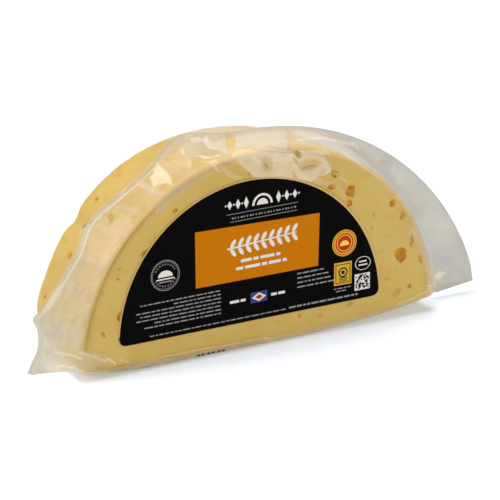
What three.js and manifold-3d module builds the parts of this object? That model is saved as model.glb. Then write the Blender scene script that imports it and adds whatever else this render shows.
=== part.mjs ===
// Half wheel of blended white cheese, standing on its cut side in a clear vacuum film pack.
// Millimetres, +Z up. X runs along the cut side, the labelled face looks towards -Y, and the
// origin is on the floor, midway through the thickness, under the centre of the half disc.
// Angles are in degrees round the rim, from the right end over the crown to the left end.
import * as THREE from 'three';
import { mergeVertices } from 'three/addons/utils/BufferGeometryUtils.js';
import Module from 'manifold-3d';

// ---- driving dimensions: the cheese, with the film drawn tight on it --------------------------
const WHEEL_RADIUS = 109.5;
const THICKNESS = 60;
const CENTRE_HEIGHT = 3.3; // of the half disc's centre above the floor
const FRONT_ROUND = 3;
const REAR_ROUND = 6;
const ROUND_STEPS = 4;

// The cut side is bowed: it rests on a flat middle and rises to both ends.
const FLAT_LEFT = -60;
const FLAT_RIGHT = 16;
const RISE_LEFT = 4.5;
const RISE_RIGHT = 7.8;
const END_ROUND_LEFT = 7;
const END_ROUND_RIGHT = 4;
const END_DIP = 0.5; // the bow is still falling this much where it leaves each rounded end
const TUCK_HEIGHT = 5; // the film's folded strip under the front face
const TUCK_DEPTH = 3.5;

// Lengths of one facet along the outline.
const RIM_STEP = 4;
const END_STEP = 2.5;
const BOW_STEP = 7;
const FLAT_STEP = 13;

// Where the rear edge is off its round: a crown that has settled, a small knock, a full left
// side, and a lower left end pressed in under the film.
const REAR_DIPS = [
  { at: 84, width: 24, depth: 4 },
  { at: 141.5, width: 3, depth: 2.2 },
  { at: 166, width: 5, depth: -1.2 },
  { at: 178, width: 5, depth: 3.5 },
];

// ---- driving dimensions: the film's sealed border, a thin fin that stands out round the rim ---
const BORDER_RADIUS = 147.8;
const BORDER_CENTRE_X = 3.1;
const BORDER_CENTRE_DROP = 33.5; // below the half disc's centre
const BORDER_SETBACK = 18; // behind the front face
const BORDER_THICKNESS = 1.2;
const BORDER_SECTIONS = 120;

// The border is cut straight near the floor: its outer corners, its crease and its root.
const BORDER_FROM = 0.6;
const BORDER_TO = 178.2;
const CREASE_FROM = -0.3;
const CREASE_TO = 178.4;
const ROOT_FROM = 2.4;
const ROOT_TO = 179.2;

// The flat strip between the crease and the border's outer edge.
const STRIP_RIGHT = 24;
const STRIP_CROWN = 2.5;
const STRIP_LEFT = 3.5;
const STRIP_NARROWS = [5, 75];
const STRIP_WIDENS = [110, 160];

// Where the border is pulled out of its round: how far outwards and how far back.
const BORDER_RIPPLES = [
  { at: 0, width: 4, out: -1.6, back: 0 },
  { at: 108, width: 9, out: 6, back: 7 },
  { at: 138, width: 4, out: 1.2, back: 0 },
  { at: 156, width: 8, out: -1.4, back: 0 },
  { at: 165.2, width: 1.8, out: 4, back: 0 },
  { at: 172.8, width: 5.2, out: -6.2, back: 0 },
  { at: 178.5, width: 2.5, out: -2, back: 0 },
];
const LEAN_FORWARD = 8.5; // of the border's left end
const LEAN_BETWEEN = [140, 149];

// The webs of film that bridge from the front edge and from the rim to the crease.
const WEB_START_IN = 0.9; // inside the rim's radius, on the rounded front edge
const WEB_START_BACK = 0.7;
const WEB_SAG = 1.6;
const CREASE_FORWARD = 1.2; // in front of the border's middle plane
const REAR_WEB = 8; // how far behind the border the film is back on the rim
const ROOT_DEPTH = 9; // how far the fin's root is sunk in the wheel
const ROOT_BACK = 3;
const WEB_END_DEPTH = 1;

// ---- driving dimensions: the label -----------------------------------------------------------
const LABEL_RADIUS = 79.7;
const LABEL_CENTRE_X = -6.8;
const LABEL_BASE = 16.3; // above the floor
const LABEL_CORNER = 5;
const LABEL_THICKNESS = 0.4;
const LABEL_GAP = 0.3;
const LABEL_ARC_STEPS = 56;

const FRONT = -THICKNESS / 2;
const REAR = THICKNESS / 2;

// ---- helpers ---------------------------------------------------------------------------------
const { smoothstep, lerp, mapLinear, degToRad, radToDeg } = THREE.MathUtils;
const wasm = await Module();
wasm.setup();

// How much of a local change is felt at an angle: 1 at its own place, and soon 0 beside it.
function bump(degrees, place) {
  const across = (degrees - place.at) / place.width;
  return Math.exp(-across * across);
}

// Point at a distance and an angle from the half disc's centre.
function polar(radius, degrees, y) {
  const turn = degToRad(degrees);
  return new THREE.Vector3(radius * Math.cos(turn), y, CENTRE_HEIGHT + radius * Math.sin(turn));
}

// Closed body through rings of equally many points, with a fan to a middle point over each end.
function skin(rings, firstMiddle, lastMiddle) {
  const count = rings[0].length;
  const faces = [];
  for (let ring = 0; ring + 1 < rings.length; ring += 1) {
    for (let i = 0; i < count; i += 1) {
      const here = ring * count + i;
      const next = ring * count + ((i + 1) % count);
      faces.push(here, here + count, next);
      faces.push(next, here + count, next + count);
    }
  }
  const lastRing = (rings.length - 1) * count;
  const firstCap = rings.length * count;
  for (let i = 0; i < count; i += 1) {
    const next = (i + 1) % count;
    faces.push(firstCap, i, next);
    faces.push(firstCap + 1, lastRing + next, lastRing + i);
  }
  const points = [...rings.flat(), firstMiddle, lastMiddle];
  const geometry = new THREE.BufferGeometry().setFromPoints(points);
  geometry.setIndex(faces);
  return geometry;
}

function solidOf(geometry) {
  const merged = mergeVertices(geometry);
  return new wasm.Manifold(new wasm.Mesh({
    numProp: 3,
    vertProperties: new Float32Array(merged.attributes.position.array),
    triVerts: new Uint32Array(merged.index.array),
  }));
}

function geometryOf(solid) {
  const mesh = solid.getMesh();
  const geometry = new THREE.BufferGeometry();
  geometry.setAttribute('position', new THREE.BufferAttribute(mesh.vertProperties, 3));
  geometry.setIndex(new THREE.BufferAttribute(mesh.triVerts, 1));
  geometry.computeVertexNormals();
  return geometry;
}

// ---- the cheese, with the film drawn tight on it ----------------------------------------------
// One rounded end of the cut side, from the rim down to the bow. Side is 1 at the right.
function roundedEnd(side, rise, round) {
  const corner = new THREE.Vector2(side * WHEEL_RADIUS, rise);
  const above = rise + round - CENTRE_HEIGHT;
  const rimPoint = new THREE.Vector2(side * Math.sqrt(WHEEL_RADIUS ** 2 - above ** 2), rise + round);
  const bowPoint = new THREE.Vector2(side * (WHEEL_RADIUS - round), rise - END_DIP);
  return { rimPoint, corner, bowPoint, rimAngle: Math.asin(above / WHEEL_RADIUS) };
}

// Outline of the half disc in X and Z, anticlockwise: the rim, a rounded end, the bowed cut
// side and the other end.
function wheelOutline() {
  const left = roundedEnd(-1, RISE_LEFT, END_ROUND_LEFT);
  const right = roundedEnd(1, RISE_RIGHT, END_ROUND_RIGHT);
  const flatLeft = new THREE.Vector2(FLAT_LEFT, 0);
  const flatRight = new THREE.Vector2(FLAT_RIGHT, 0);
  const bowLeft = new THREE.Vector2((FLAT_LEFT - WHEEL_RADIUS) / 2, 0);
  const bowRight = new THREE.Vector2((FLAT_RIGHT + WHEEL_RADIUS) / 2, 0);
  const rimTo = Math.PI - left.rimAngle;
  const rim = new THREE.EllipseCurve(
    0, CENTRE_HEIGHT, WHEEL_RADIUS, WHEEL_RADIUS, right.rimAngle, rimTo,
  );
  const stretches = [
    [rim, RIM_STEP],
    [new THREE.QuadraticBezierCurve(left.rimPoint, left.corner, left.bowPoint), END_STEP],
    [new THREE.QuadraticBezierCurve(left.bowPoint, bowLeft, flatLeft), BOW_STEP],
    [new THREE.LineCurve(flatLeft, flatRight), FLAT_STEP],
    [new THREE.QuadraticBezierCurve(flatRight, bowRight, right.bowPoint), BOW_STEP],
    [new THREE.QuadraticBezierCurve(right.bowPoint, right.corner, right.rimPoint), END_STEP],
  ];
  return stretches.flatMap(([curve, facet]) => {
    const steps = Math.ceil(curve.getLength() / facet);
    return curve.getPoints(steps).slice(0, steps);
  });
}

function outwardNormals(outline) {
  return outline.map((point, i) => {
    const before = outline[(i + outline.length - 1) % outline.length];
    const after = outline[(i + 1) % outline.length];
    const along = after.clone().sub(before).normalize();
    return new THREE.Vector2(along.y, -along.x);
  });
}

// How far the rim is sunk below its round, which fades out towards the front.
function rearDip(degrees, y) {
  const dip = REAR_DIPS.reduce((sum, place) => sum + place.depth * bump(degrees, place), 0);
  return dip * smoothstep(y, FRONT / 2, REAR);
}

function wheelBody() {
  const outline = wheelOutline();
  const normals = outwardNormals(outline);
  // One ring of the skin. Turn goes from 0 on a face to a right angle on the rim. The front's
  // round grows into the film's folded strip where the outline looks down.
  const ring = (turn, atRear) => outline.map((point, i) => {
    const facingDown = atRear ? 0 : Math.max(0, -normals[i].y) ** 4;
    const round = atRear ? REAR_ROUND : FRONT_ROUND;
    const inset = (1 - Math.sin(turn)) * lerp(round, TUCK_HEIGHT, facingDown);
    const depth = (1 - Math.cos(turn)) * lerp(round, TUCK_DEPTH, facingDown);
    const y = atRear ? REAR - depth : FRONT + depth;
    const degrees = radToDeg(Math.atan2(point.y - CENTRE_HEIGHT, point.x));
    const sunk = inset + rearDip(degrees, y);
    return new THREE.Vector3(point.x - normals[i].x * sunk, y, point.y - normals[i].y * sunk);
  });
  const turns = Array.from({ length: ROUND_STEPS + 1 }, (_, i) => (Math.PI / 2) * (i / ROUND_STEPS));
  const front = turns.map((turn) => ring(turn, false));
  const rear = turns.map((turn) => ring(turn, true)).reverse();
  const middle = CENTRE_HEIGHT + WHEEL_RADIUS / 2;
  return skin([...front, ...rear], new THREE.Vector3(0, FRONT, middle), new THREE.Vector3(0, REAR, middle));
}

// ---- the sealed border, with the webs that bridge to it -----------------------------------------
// Distance of the border's outer edge from the half disc's centre.
function borderReach(degrees) {
  const turn = degToRad(degrees);
  const along = BORDER_CENTRE_X * Math.cos(turn) - BORDER_CENTRE_DROP * Math.sin(turn);
  const offset = BORDER_CENTRE_X ** 2 + BORDER_CENTRE_DROP ** 2;
  const round = along + Math.sqrt(along ** 2 + BORDER_RADIUS ** 2 - offset);
  return BORDER_RIPPLES.reduce((sum, place) => sum + place.out * bump(degrees, place), round);
}

function borderSetback(degrees) {
  const upright = BORDER_SETBACK - LEAN_FORWARD * smoothstep(degrees, ...LEAN_BETWEEN);
  return BORDER_RIPPLES.reduce((sum, place) => sum + place.back * bump(degrees, place), upright);
}

function stripWidth(degrees) {
  const right = (STRIP_RIGHT - STRIP_CROWN) * (1 - smoothstep(degrees, ...STRIP_NARROWS));
  const left = (STRIP_LEFT - STRIP_CROWN) * smoothstep(degrees, ...STRIP_WIDENS);
  return STRIP_CROWN + right + left;
}

// One section of the fin: its root in the wheel, the front web, the strip, and back to the rim.
function borderSection(share) {
  const outerAngle = lerp(BORDER_FROM, BORDER_TO, share);
  const creaseAngle = lerp(CREASE_FROM, CREASE_TO, share);
  const rootAngle = lerp(ROOT_FROM, ROOT_TO, share);
  const reach = borderReach(outerAngle);
  const crease = reach - stripWidth(outerAngle);
  const setback = borderSetback(outerAngle);
  const half = BORDER_THICKNESS / 2;
  const at = (radius, back) => {
    const overWeb = mapLinear(radius, WHEEL_RADIUS, crease, 0, 1);
    const overStrip = mapLinear(radius, crease, reach, 0, 1);
    const degrees = overStrip > 0
      ? lerp(creaseAngle, outerAngle, overStrip)
      : lerp(rootAngle, creaseAngle, Math.max(0, overWeb));
    return polar(radius, degrees, FRONT + back);
  };
  const webFrom = new THREE.Vector2(WHEEL_RADIUS - WEB_START_IN, WEB_START_BACK);
  const webTo = new THREE.Vector2(crease, setback - CREASE_FORWARD);
  const slope = webTo.clone().sub(webFrom).normalize();
  const webMiddle = webFrom.clone().lerp(webTo, 0.5);
  webMiddle.add(new THREE.Vector2(-slope.y, slope.x).multiplyScalar(WEB_SAG));
  const rearBack = setback + REAR_WEB;
  const rimRadius = WHEEL_RADIUS - rearDip(rootAngle, FRONT + rearBack);
  return [
    at(WHEEL_RADIUS - ROOT_DEPTH, ROOT_BACK),
    at(webFrom.x, webFrom.y),
    at(webMiddle.x, webMiddle.y),
    at(webTo.x, webTo.y),
    at(reach, setback - half),
    at(reach, setback + half),
    at(crease, setback + half),
    at(rimRadius - WEB_END_DEPTH, rearBack),
    at(WHEEL_RADIUS - ROOT_DEPTH, rearBack),
  ];
}

function borderBody() {
  const sections = [];
  for (let i = BORDER_SECTIONS; i >= 0; i -= 1) {
    sections.push(borderSection(i / BORDER_SECTIONS));
  }
  const middleOf = (section) => section
    .reduce((sum, point) => sum.add(point), new THREE.Vector3())
    .divideScalar(section.length);
  return skin(sections, middleOf(sections[0]), middleOf(sections[BORDER_SECTIONS]));
}

// ---- the label: a half moon with rounded lower corners -------------------------------------------
function labelBody() {
  const lift = Math.asin(LABEL_CORNER / LABEL_RADIUS);
  const inner = LABEL_RADIUS - LABEL_CORNER;
  const shape = new THREE.Shape();
  shape.moveTo(-inner, 0);
  shape.lineTo(inner, 0);
  shape.quadraticCurveTo(LABEL_RADIUS, 0, LABEL_RADIUS * Math.cos(lift), LABEL_CORNER);
  shape.absarc(0, 0, LABEL_RADIUS, lift, Math.PI - lift, false);
  shape.quadraticCurveTo(-LABEL_RADIUS, 0, -inner, 0);
  const geometry = new THREE.ExtrudeGeometry(shape, {
    depth: LABEL_THICKNESS,
    bevelEnabled: false,
    curveSegments: LABEL_ARC_STEPS / 2,
  });
  geometry.rotateX(Math.PI / 2);
  return geometry;
}

// ---- the scene graph -----------------------------------------------------------------------------
const pack = new THREE.Group();

const filmPack = new THREE.Mesh(
  geometryOf(solidOf(wheelBody()).add(solidOf(borderBody()))),
  new THREE.MeshStandardMaterial({ color: 0xd8b878, roughness: 0.3, metalness: 0 }),
);
filmPack.name = 'film_pack';
pack.add(filmPack);

const label = new THREE.Mesh(
  labelBody(),
  new THREE.MeshStandardMaterial({ color: 0x121112, roughness: 0.35, metalness: 0 }),
);
label.name = 'label';
label.position.set(LABEL_CENTRE_X, FRONT - LABEL_GAP, LABEL_BASE);
pack.add(label);

export default pack;
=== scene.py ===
"""Looks of a packed half wheel of blended cheese: the cheese with its fruit, the clear vacuum
film round it and the printed label on its front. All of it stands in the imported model's frame."""

import math
import random

import bpy
import numpy as np
from bpy.props import FloatProperty, FloatVectorProperty, IntProperty, PointerProperty
from mathutils import Matrix, Vector, noise
from mathutils.bvhtree import BVHTree


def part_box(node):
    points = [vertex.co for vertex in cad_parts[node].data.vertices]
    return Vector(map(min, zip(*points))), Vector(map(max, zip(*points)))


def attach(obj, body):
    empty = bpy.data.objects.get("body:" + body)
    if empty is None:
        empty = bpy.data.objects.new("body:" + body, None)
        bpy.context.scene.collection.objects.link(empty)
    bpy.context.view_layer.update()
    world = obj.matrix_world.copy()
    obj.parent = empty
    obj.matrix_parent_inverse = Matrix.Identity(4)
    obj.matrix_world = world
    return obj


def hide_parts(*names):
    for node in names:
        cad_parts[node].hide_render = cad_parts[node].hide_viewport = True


bl_info = {
    "name": "Packed half wheel of cheese",
    "version": (1, 0, 0),
    "blender": (4, 5, 0),
    "location": "View3D > Sidebar > Cheese pack",
    "description": "Makes a half wheel of blended cheese in a clear vacuum film pack with a label",
    "category": "Add Mesh",
}

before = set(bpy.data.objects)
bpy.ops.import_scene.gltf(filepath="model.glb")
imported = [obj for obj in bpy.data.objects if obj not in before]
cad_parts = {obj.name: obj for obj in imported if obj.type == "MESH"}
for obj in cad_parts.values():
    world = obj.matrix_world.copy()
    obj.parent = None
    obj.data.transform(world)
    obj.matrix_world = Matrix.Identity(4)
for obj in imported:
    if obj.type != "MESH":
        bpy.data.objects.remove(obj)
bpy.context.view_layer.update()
PACK_LOW, PACK_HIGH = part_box("film_pack")
LABEL_LOW, LABEL_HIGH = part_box("label")

MM = 0.001

# ---- the wheel, in millimetres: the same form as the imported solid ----
WHEEL_RADIUS = 109.5
CENTRE_HEIGHT = 3.3  # of the half disc's centre above the floor
MIDDLE_HEIGHT = CENTRE_HEIGHT + WHEEL_RADIUS / 2
FRONT = PACK_LOW.y / MM
REAR = PACK_HIGH.y / MM
THICKNESS = REAR - FRONT
FRONT_ROUND = 3.0  # radius of the front edge
REAR_ROUND = 6.0
FLAT_LEFT = -60.0  # the base is flat from here
FLAT_RIGHT = 16.0  # to here, and bows up to its two ends
RISE_LEFT = 4.5  # of the lower corners above the floor
RISE_RIGHT = 7.8
END_ROUND_LEFT = 7.0  # radius of the lower corners
END_ROUND_RIGHT = 4.0
END_DIP = 0.5  # the bowed base meets its corners this much lower
TUCK_HEIGHT = 5.0  # the front edge's round under the base
TUCK_DEPTH = 3.5
REAR_DIPS = [
    # hollows of the rim towards the rear, over a half width in degrees; below 0 it swells
    {"at": 84, "width": 24, "depth": 4},
    {"at": 141.5, "width": 3, "depth": 2.2},
    {"at": 166, "width": 5, "depth": -1.2},
    {"at": 178, "width": 5, "depth": 3.5},
]

# ---- the film's border, by degrees round the rim from its right end ----
BORDER_RADIUS = 147.8  # of its cut edge
BORDER_CENTRE_X = 3.1
BORDER_CENTRE_DROP = 33.5  # of its centre under the half disc's centre
BORDER_SETBACK = 18.0  # of the seal behind the front face
BORDER_FROM, BORDER_TO = 0.6, 178.2  # where its cut edge starts and ends
CREASE_FROM, CREASE_TO = -0.3, 178.4  # the same for the crease inside the sealed strip
ROOT_FROM, ROOT_TO = 2.4, 179.2  # the same for the place where it leaves the rim
STRIP_RIGHT = 24.0  # width of the sealed strip at the right, the crown and the left
STRIP_CROWN = 2.5
STRIP_LEFT = 2.6
STRIP_NARROWS = (5, 75)
STRIP_WIDENS = (110, 160)
BORDER_RIPPLES = [
    # how far its edge goes out and back at some degrees, over a half width in degrees
    {"at": 0, "width": 4, "out": -1.6, "back": 0},
    {"at": 108, "width": 9, "out": 6, "back": 7},
    {"at": 138, "width": 4, "out": 1.2, "back": 0},
    {"at": 156, "width": 8, "out": -1.4, "back": 0},
    {"at": 165.2, "width": 1.8, "out": 4, "back": 0},
    {"at": 172.8, "width": 5.2, "out": -6.2, "back": 0},
    {"at": 178.5, "width": 2.5, "out": -2, "back": 0},
]
LEAN_FORWARD = 8.5  # the border stands this much further forward at the left
LEAN_BETWEEN = (140, 149)
WEB_START_BACK = 0.8  # the film leaves the cheese this far behind the front face
WEB_SAG = 1.6  # of the film between the cheese and the seal
CREASE_FORWARD = 1.2  # of the crease in front of the seal
REAR_WEB = 8.0  # the film meets the rim again this far behind the seal
SHEET_GAP = 0.3  # between the two sheets where they are sealed together
CHEESE_INSET = 0.4  # of the cheese's surface inside the film
DOT_PAIRS = {"count": 3, "from": -38.8, "pitch": 6.2, "apart": 2.7, "width": 2.0, "height": 1.9}
DOTS_BEHIND, DOTS_ABOVE = 0.7, 2.0  # place of the dots behind the front face and over the floor
PLEAT_SEED = 5

# ---- fruit in the cheese: places on the front face (X, Z) or the rim (degrees, depth Y) ----
FRONT_MANGO = [
    # x, z, width, height, turn, how deep it lies under the surface (0 to 1)
    (87.0, 36.6, 9.0, 11.5, 10, 0.0),
    (55.5, 79.2, 9.0, 10.0, -8, 0.0),
    (54.5, 72.2, 6.5, 6.0, 20, 0.0),
    (45.9, 90.3, 8.0, 5.0, -25, 0.0),
    (44.0, 83.3, 7.0, 4.2, -15, 0.0),
    (29.0, 95.5, 12.0, 5.5, 5, 0.04),
    (1.2, 103.5, 4.5, 3.2, 30, 0.35),
    (5.2, 99.0, 3.2, 4.6, 0, 0.35),
    (94.0, 43.8, 3.4, 9.0, -15, 0.0),
    (81.7, 67.6, 4.8, 5.0, 10, 0.0),
    (88.1, 59.0, 4.8, 6.8, -20, 0.25),
    (100.0, 32.2, 3.4, 6.5, 5, 0.3),
    (2.5, 101.0, 4.0, 6.0, -30, 0.1),
    (84.5, 14.8, 9.0, 6.5, 35, 0.55),
    (-96.2, 49.2, 4.5, 5.0, -20, 0.6),
    (-85.6, 33.5, 3.5, 7.5, -5, 0.0),
    (-51.3, 86.3, 4.5, 3.0, 35, 0.0),
    (-70.2, 65.8, 3.2, 7.0, -35, 0.0),
    (38.0, 92.5, 4.0, 2.4, 10, 0.4),
    (-20.4, 107.6, 6.5, 3.6, -15, 0.5),
    (-6.7, 99.6, 3.5, 2.6, 20, 0.35),
    (54.7, 13.4, 6.0, 2.8, 15, 0.5),
    (23.3, 13.0, 3.0, 2.4, 0, 0.4),
    (36.0, 10.5, 5.0, 2.4, 8, 0.65),
]
FRONT_GINGER = [
    (-84.9, 59.7, 2.6, 2.0, 0, 0.1),
    (-86.0, 54.3, 3.0, 2.0, -20, 0.1),
    (-95.2, 25.0, 2.8, 5.2, 25, 0.1),
    (16.5, 110.0, 2.2, 4.0, -30, 0.25),
    (22.5, 106.1, 3.6, 4.2, 30, 0.3),
    (69.7, 62.8, 1.6, 4.0, 0, 0.45),
    (69.1, 54.9, 1.5, 3.6, 0, 0.5),
    (77.4, 48.8, 2.4, 1.6, 0, 0.5),
    (75.5, 41.6, 2.0, 3.2, 20, 0.6),
    (-52.5, 13.8, 2.0, 1.6, 0, 0.4),
    (81.5, 58.5, 1.2, 1.0, 0, 0.2),
    (60.5, 93.0, 2.6, 1.8, 0, 0.5),
    (78.0, 24.0, 1.8, 3.0, 15, 0.6),
    (92.9, 17.3, 3.2, 3.6, 0, 0.1),
    (-86.0, 4.6, 9.0, 4.0, 0, 0.25),
    (76.0, 36.0, 1.6, 2.0, 30, 0.5),
    (71.5, 33.0, 1.4, 1.6, 0, 0.5),
    (84.0, 27.5, 2.0, 2.4, 0, 0.6),
]
RIM_MANGO = [
    # degrees round the rim, y, width along the rim, length along Y, turn, how deep it lies
    (133.2, 16.8, 3.6, 4.6, 20, 0.15),
    (150.4, 9.1, 3.8, 3.4, 0, 0.1),
    (164.5, 18.4, 2.6, 3.0, 0, 0.2),
    (135.2, -6.5, 4.5, 7.5, 20, 0.2),
    (136.9, -9.5, 3.6, 4.0, -20, 0.25),
    (128.2, -10.4, 3.5, 8.0, 25, 0.85),
    (62.0, 12.0, 6.0, 7.0, 20, 0.1),
    (38.0, 4.0, 5.0, 6.0, 0, 0.2),
    (20.0, 18.0, 6.5, 5.0, 40, 0.1),
    (95.0, 14.0, 5.0, 4.0, 10, 0.3),
]
RIM_GINGER = [
    (141.2, 13.2, 4.4, 2.8, 10, 0.1),
    (147.8, 19.5, 2.6, 2.2, 0, 0.55),
    (123.6, 17.6, 2.4, 2.0, 0, 0.5),
    (75.0, 6.0, 2.4, 3.0, 0, 0.2),
    (50.0, 20.0, 3.0, 2.2, 20, 0.2),
    (28.0, -4.0, 2.2, 2.6, 0, 0.3),
]
REST_MANGO = 34  # more pieces, strewn over the faces that look away
REST_GINGER = 26
MANGO_SEED, GINGER_SEED = 11, 23
PIECE_DEPTH = 1.5  # how far a piece reaches into the cheese
PIECE_TOP = 0.13  # how far its middle stands out of it
PIECE_RINGS = [
    # rings of one piece from below upwards: size, height over the surface, cover of cheese
    (1.0, -PIECE_DEPTH, 1.0), (1.0, 0.0, 0.9), (0.93, 0.05, 0.35), (0.82, 0.08, 0.05), (0.45, 0.1, 0.0),
]

# ---- the cheese's own surface ----
FACE_RINGS = 33
HOLLOWS = [
    # seed, size and depth in mm, and the two levels of the noise between which they sink
    (1, 26, 0.35, (-0.2, 0.7)),
    (2, 6, 0.12, (0, 0.6)),
]
EDGE_SHADE_MOST = 0.8  # share of painted shade, deeper and olive, on the front edge at the left
EDGE_SHADE_BETWEEN = (96, 120)  # degrees round the rim over which that comes in

# ---- marks in the film's front sheet, in its plan: millimetres from the wheel's centre ----
AIR_POCKETS_AND_GLARE = [
    # corners, milkiness, white of folds and painted glare, lift in mm, painted light from the cheese behind
    # milky bands of loose film along the crown
    ([(-29, 128.5), (-23.5, 129.5), (-17, 130), (-18, 124.5), (-18, 118), (-17.5, 109.5), (-20.5, 110),
      (-22, 116), (-26.5, 118), (-29, 119.5), (-30.5, 124)], 0.86, 0.05, 0.3, 0.05),
    ([(-17, 130), (-6, 129), (8.5, 127.5), (24.5, 125), (20.5, 116.5), (15.5, 106), (6.5, 109.5),
      (1, 108.5), (-4.5, 113), (-9, 113), (-11, 117), (-17, 118), (-18, 124.5)], 0.88, 0.1, 0.25, 0.05),
    ([(31, 123), (47.5, 119), (62.5, 113.5), (60.5, 112), (45.5, 115), (30.5, 115.5), (29, 118.5)],
      0.62, 0.08, 0.2, 0.25),
    # a band under them, warm with painted light from the cheese and with some painted glare
    ([(-11, 112), (-5.5, 111), (6, 108), (15, 105.5), (19, 104.5), (22.5, 104.5), (40, 101.5),
      (43, 98.5), (23.5, 101), (5.5, 104), (-12.5, 106.5)], 0.8, 0.25, 0.1, 0.5),
    # tan patches and a strip, where the film lies on the cheese between the bands, warm with painted light
    # from it
    ([(-26, 127.5), (-23, 126), (-18.5, 126), (-21, 124), (-24, 123), (-27, 124.5)],
      0.35, 0, -0.3, 0.75),
    ([(-16.5, 129), (-13, 128.5), (-11, 126), (-10.5, 123), (-12.5, 118.5), (-15, 113.5), (-16.5, 116),
      (-17.5, 121.5), (-17, 126)], 0.4, 0, -0.4, 0.75),
    ([(25, 125), (31, 124), (29, 119.5), (27, 113.5), (19, 104), (16.5, 105), (21, 116.5)],
      0.55, 0, -0.3, 0.6),
    # broad glare on the face under the crown, with a brighter core
    ([(-13.5, 112.5), (1, 107.5), (15, 104.5), (23.5, 102.5), (33, 101), (39, 98), (42, 93), (43.5, 89),
      (39.5, 87.5), (34, 88), (41, 82), (37, 82.5), (31, 85), (23.5, 87.5), (15, 90), (0.5, 92.5),
      (-4.5, 93.5), (-7.5, 97), (-10.5, 100), (-14.5, 103.5), (-18.5, 107)], 0.1, 0.58, 0.35, 1.0),
    ([(-11, 111.5), (1, 107), (15, 104), (23, 102), (25.5, 98.5), (13, 99.5), (-3, 102.5), (-12, 107)],
      0.1, 0.66, 0.1, 0.7),
    # narrow stripes of glare beside it
    ([(-29.5, 107.5), (-26.5, 105), (-24, 101), (-20, 97), (-16.5, 95), (-9, 94), (-14, 97),
      (-19.5, 100.5), (-24, 104.5), (-26.5, 107.5)], 0.1, 0.3, 0.25, 0.8),
    ([(31, 85.5), (37, 83), (44, 80.5), (49, 76.5), (51, 77), (46, 81.5), (41, 84), (34.5, 87)],
      0.1, 0.28, 0.2, 0.8),
    ([(42.5, 89), (46, 88), (49, 85.5), (51.5, 84), (54, 81), (52, 81), (49, 83.5), (45, 87)],
      0.1, 0.34, 0.2, 0.8),
    ([(50, 76.5), (52, 77), (52.5, 73.5), (51, 73.5)], 0.1, 0.34, 0.2, 0.8),
    # gaps in the glare
    ([(19, 104.5), (22, 104.5), (24.5, 102.5), (24.5, 100.5), (22.5, 99.5), (20.5, 102)],
      0.1, 0.02, -0.2, 1.0),
    ([(19.5, 101), (22, 98.5), (22.5, 96.5), (21, 97.5), (19.5, 99.5)], 0.1, 0.1, -0.2, 1.0),
    ([(19, 93.5), (21, 90.5), (22, 89), (19.5, 90)], 0.05, 0.15, -0.1, 1.0),
    # painted glints on facets of the creased film at the upper left and along the left
    ([(-60.5, 115), (-58.5, 112), (-56, 109), (-54, 105.5), (-51.5, 96), (-55.5, 100.5), (-60.5, 101.5),
      (-64.5, 100), (-65.5, 104), (-66.5, 106), (-64, 108.5)], 0.5, 0.68, 0.5, 0.45),
    ([(-74, 104.5), (-71.5, 103.5), (-69, 100.5), (-72, 100.5), (-74, 103)], 0.5, 0.36, 0.3, 0.45),
    ([(-44, 122), (-43, 121.5), (-43, 116.5), (-45, 118)], 0.5, 0.7, 0.3, 0.45),
    ([(-43.5, 109), (-41.5, 112.5), (-39.5, 112.5), (-41, 107)], 0.5, 0.42, 0.3, 0.45),
    ([(-39.5, 128), (-36.5, 127), (-31.5, 127.5), (-30, 125.5), (-32.5, 124), (-37, 124.5)],
      0.5, 0.4, 0.3, 0.45),
    ([(-36, 115), (-32.5, 114.5), (-28, 112), (-25, 112.5), (-22.5, 112), (-23, 109), (-27, 109.5),
      (-32, 111)], 0.5, 0.62, 0.3, 0.45),
    ([(-34.5, 111), (-31.5, 109), (-29, 107.5), (-26, 108.5), (-25, 105), (-27, 104), (-23.5, 99),
      (-27.5, 101.5), (-30, 105), (-32.5, 108)], 0.4, 0.5, 0.3, 0.45),
    ([(-104, 62), (-102.5, 64), (-100.5, 63.5), (-100.5, 62)], 0.5, 0.45, 0.3, 0.45),
    ([(-103.5, 66), (-101.5, 67), (-101, 65.5)], 0.5, 0.3, 0.2, 0.45),
    ([(-113.5, 52), (-112, 51.5), (-110, 49.5), (-111.5, 48), (-113.5, 49.5)], 0.5, 0.5, 0.3, 0.45),
    ([(-116.5, 46), (-115, 46.5), (-115, 43.5), (-116, 43.5)], 0.5, 0.4, 0.2, 0.45),
    # painted highlight streaking down the border at the left
    ([(-116.5, 50.5), (-120, 47), (-125, 40.5), (-127.5, 37), (-125.5, 35.5), (-122.5, 38.5),
      (-119.5, 42), (-117.5, 46)], 0.6, 0.62, 0.2, 0.3),
]
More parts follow.
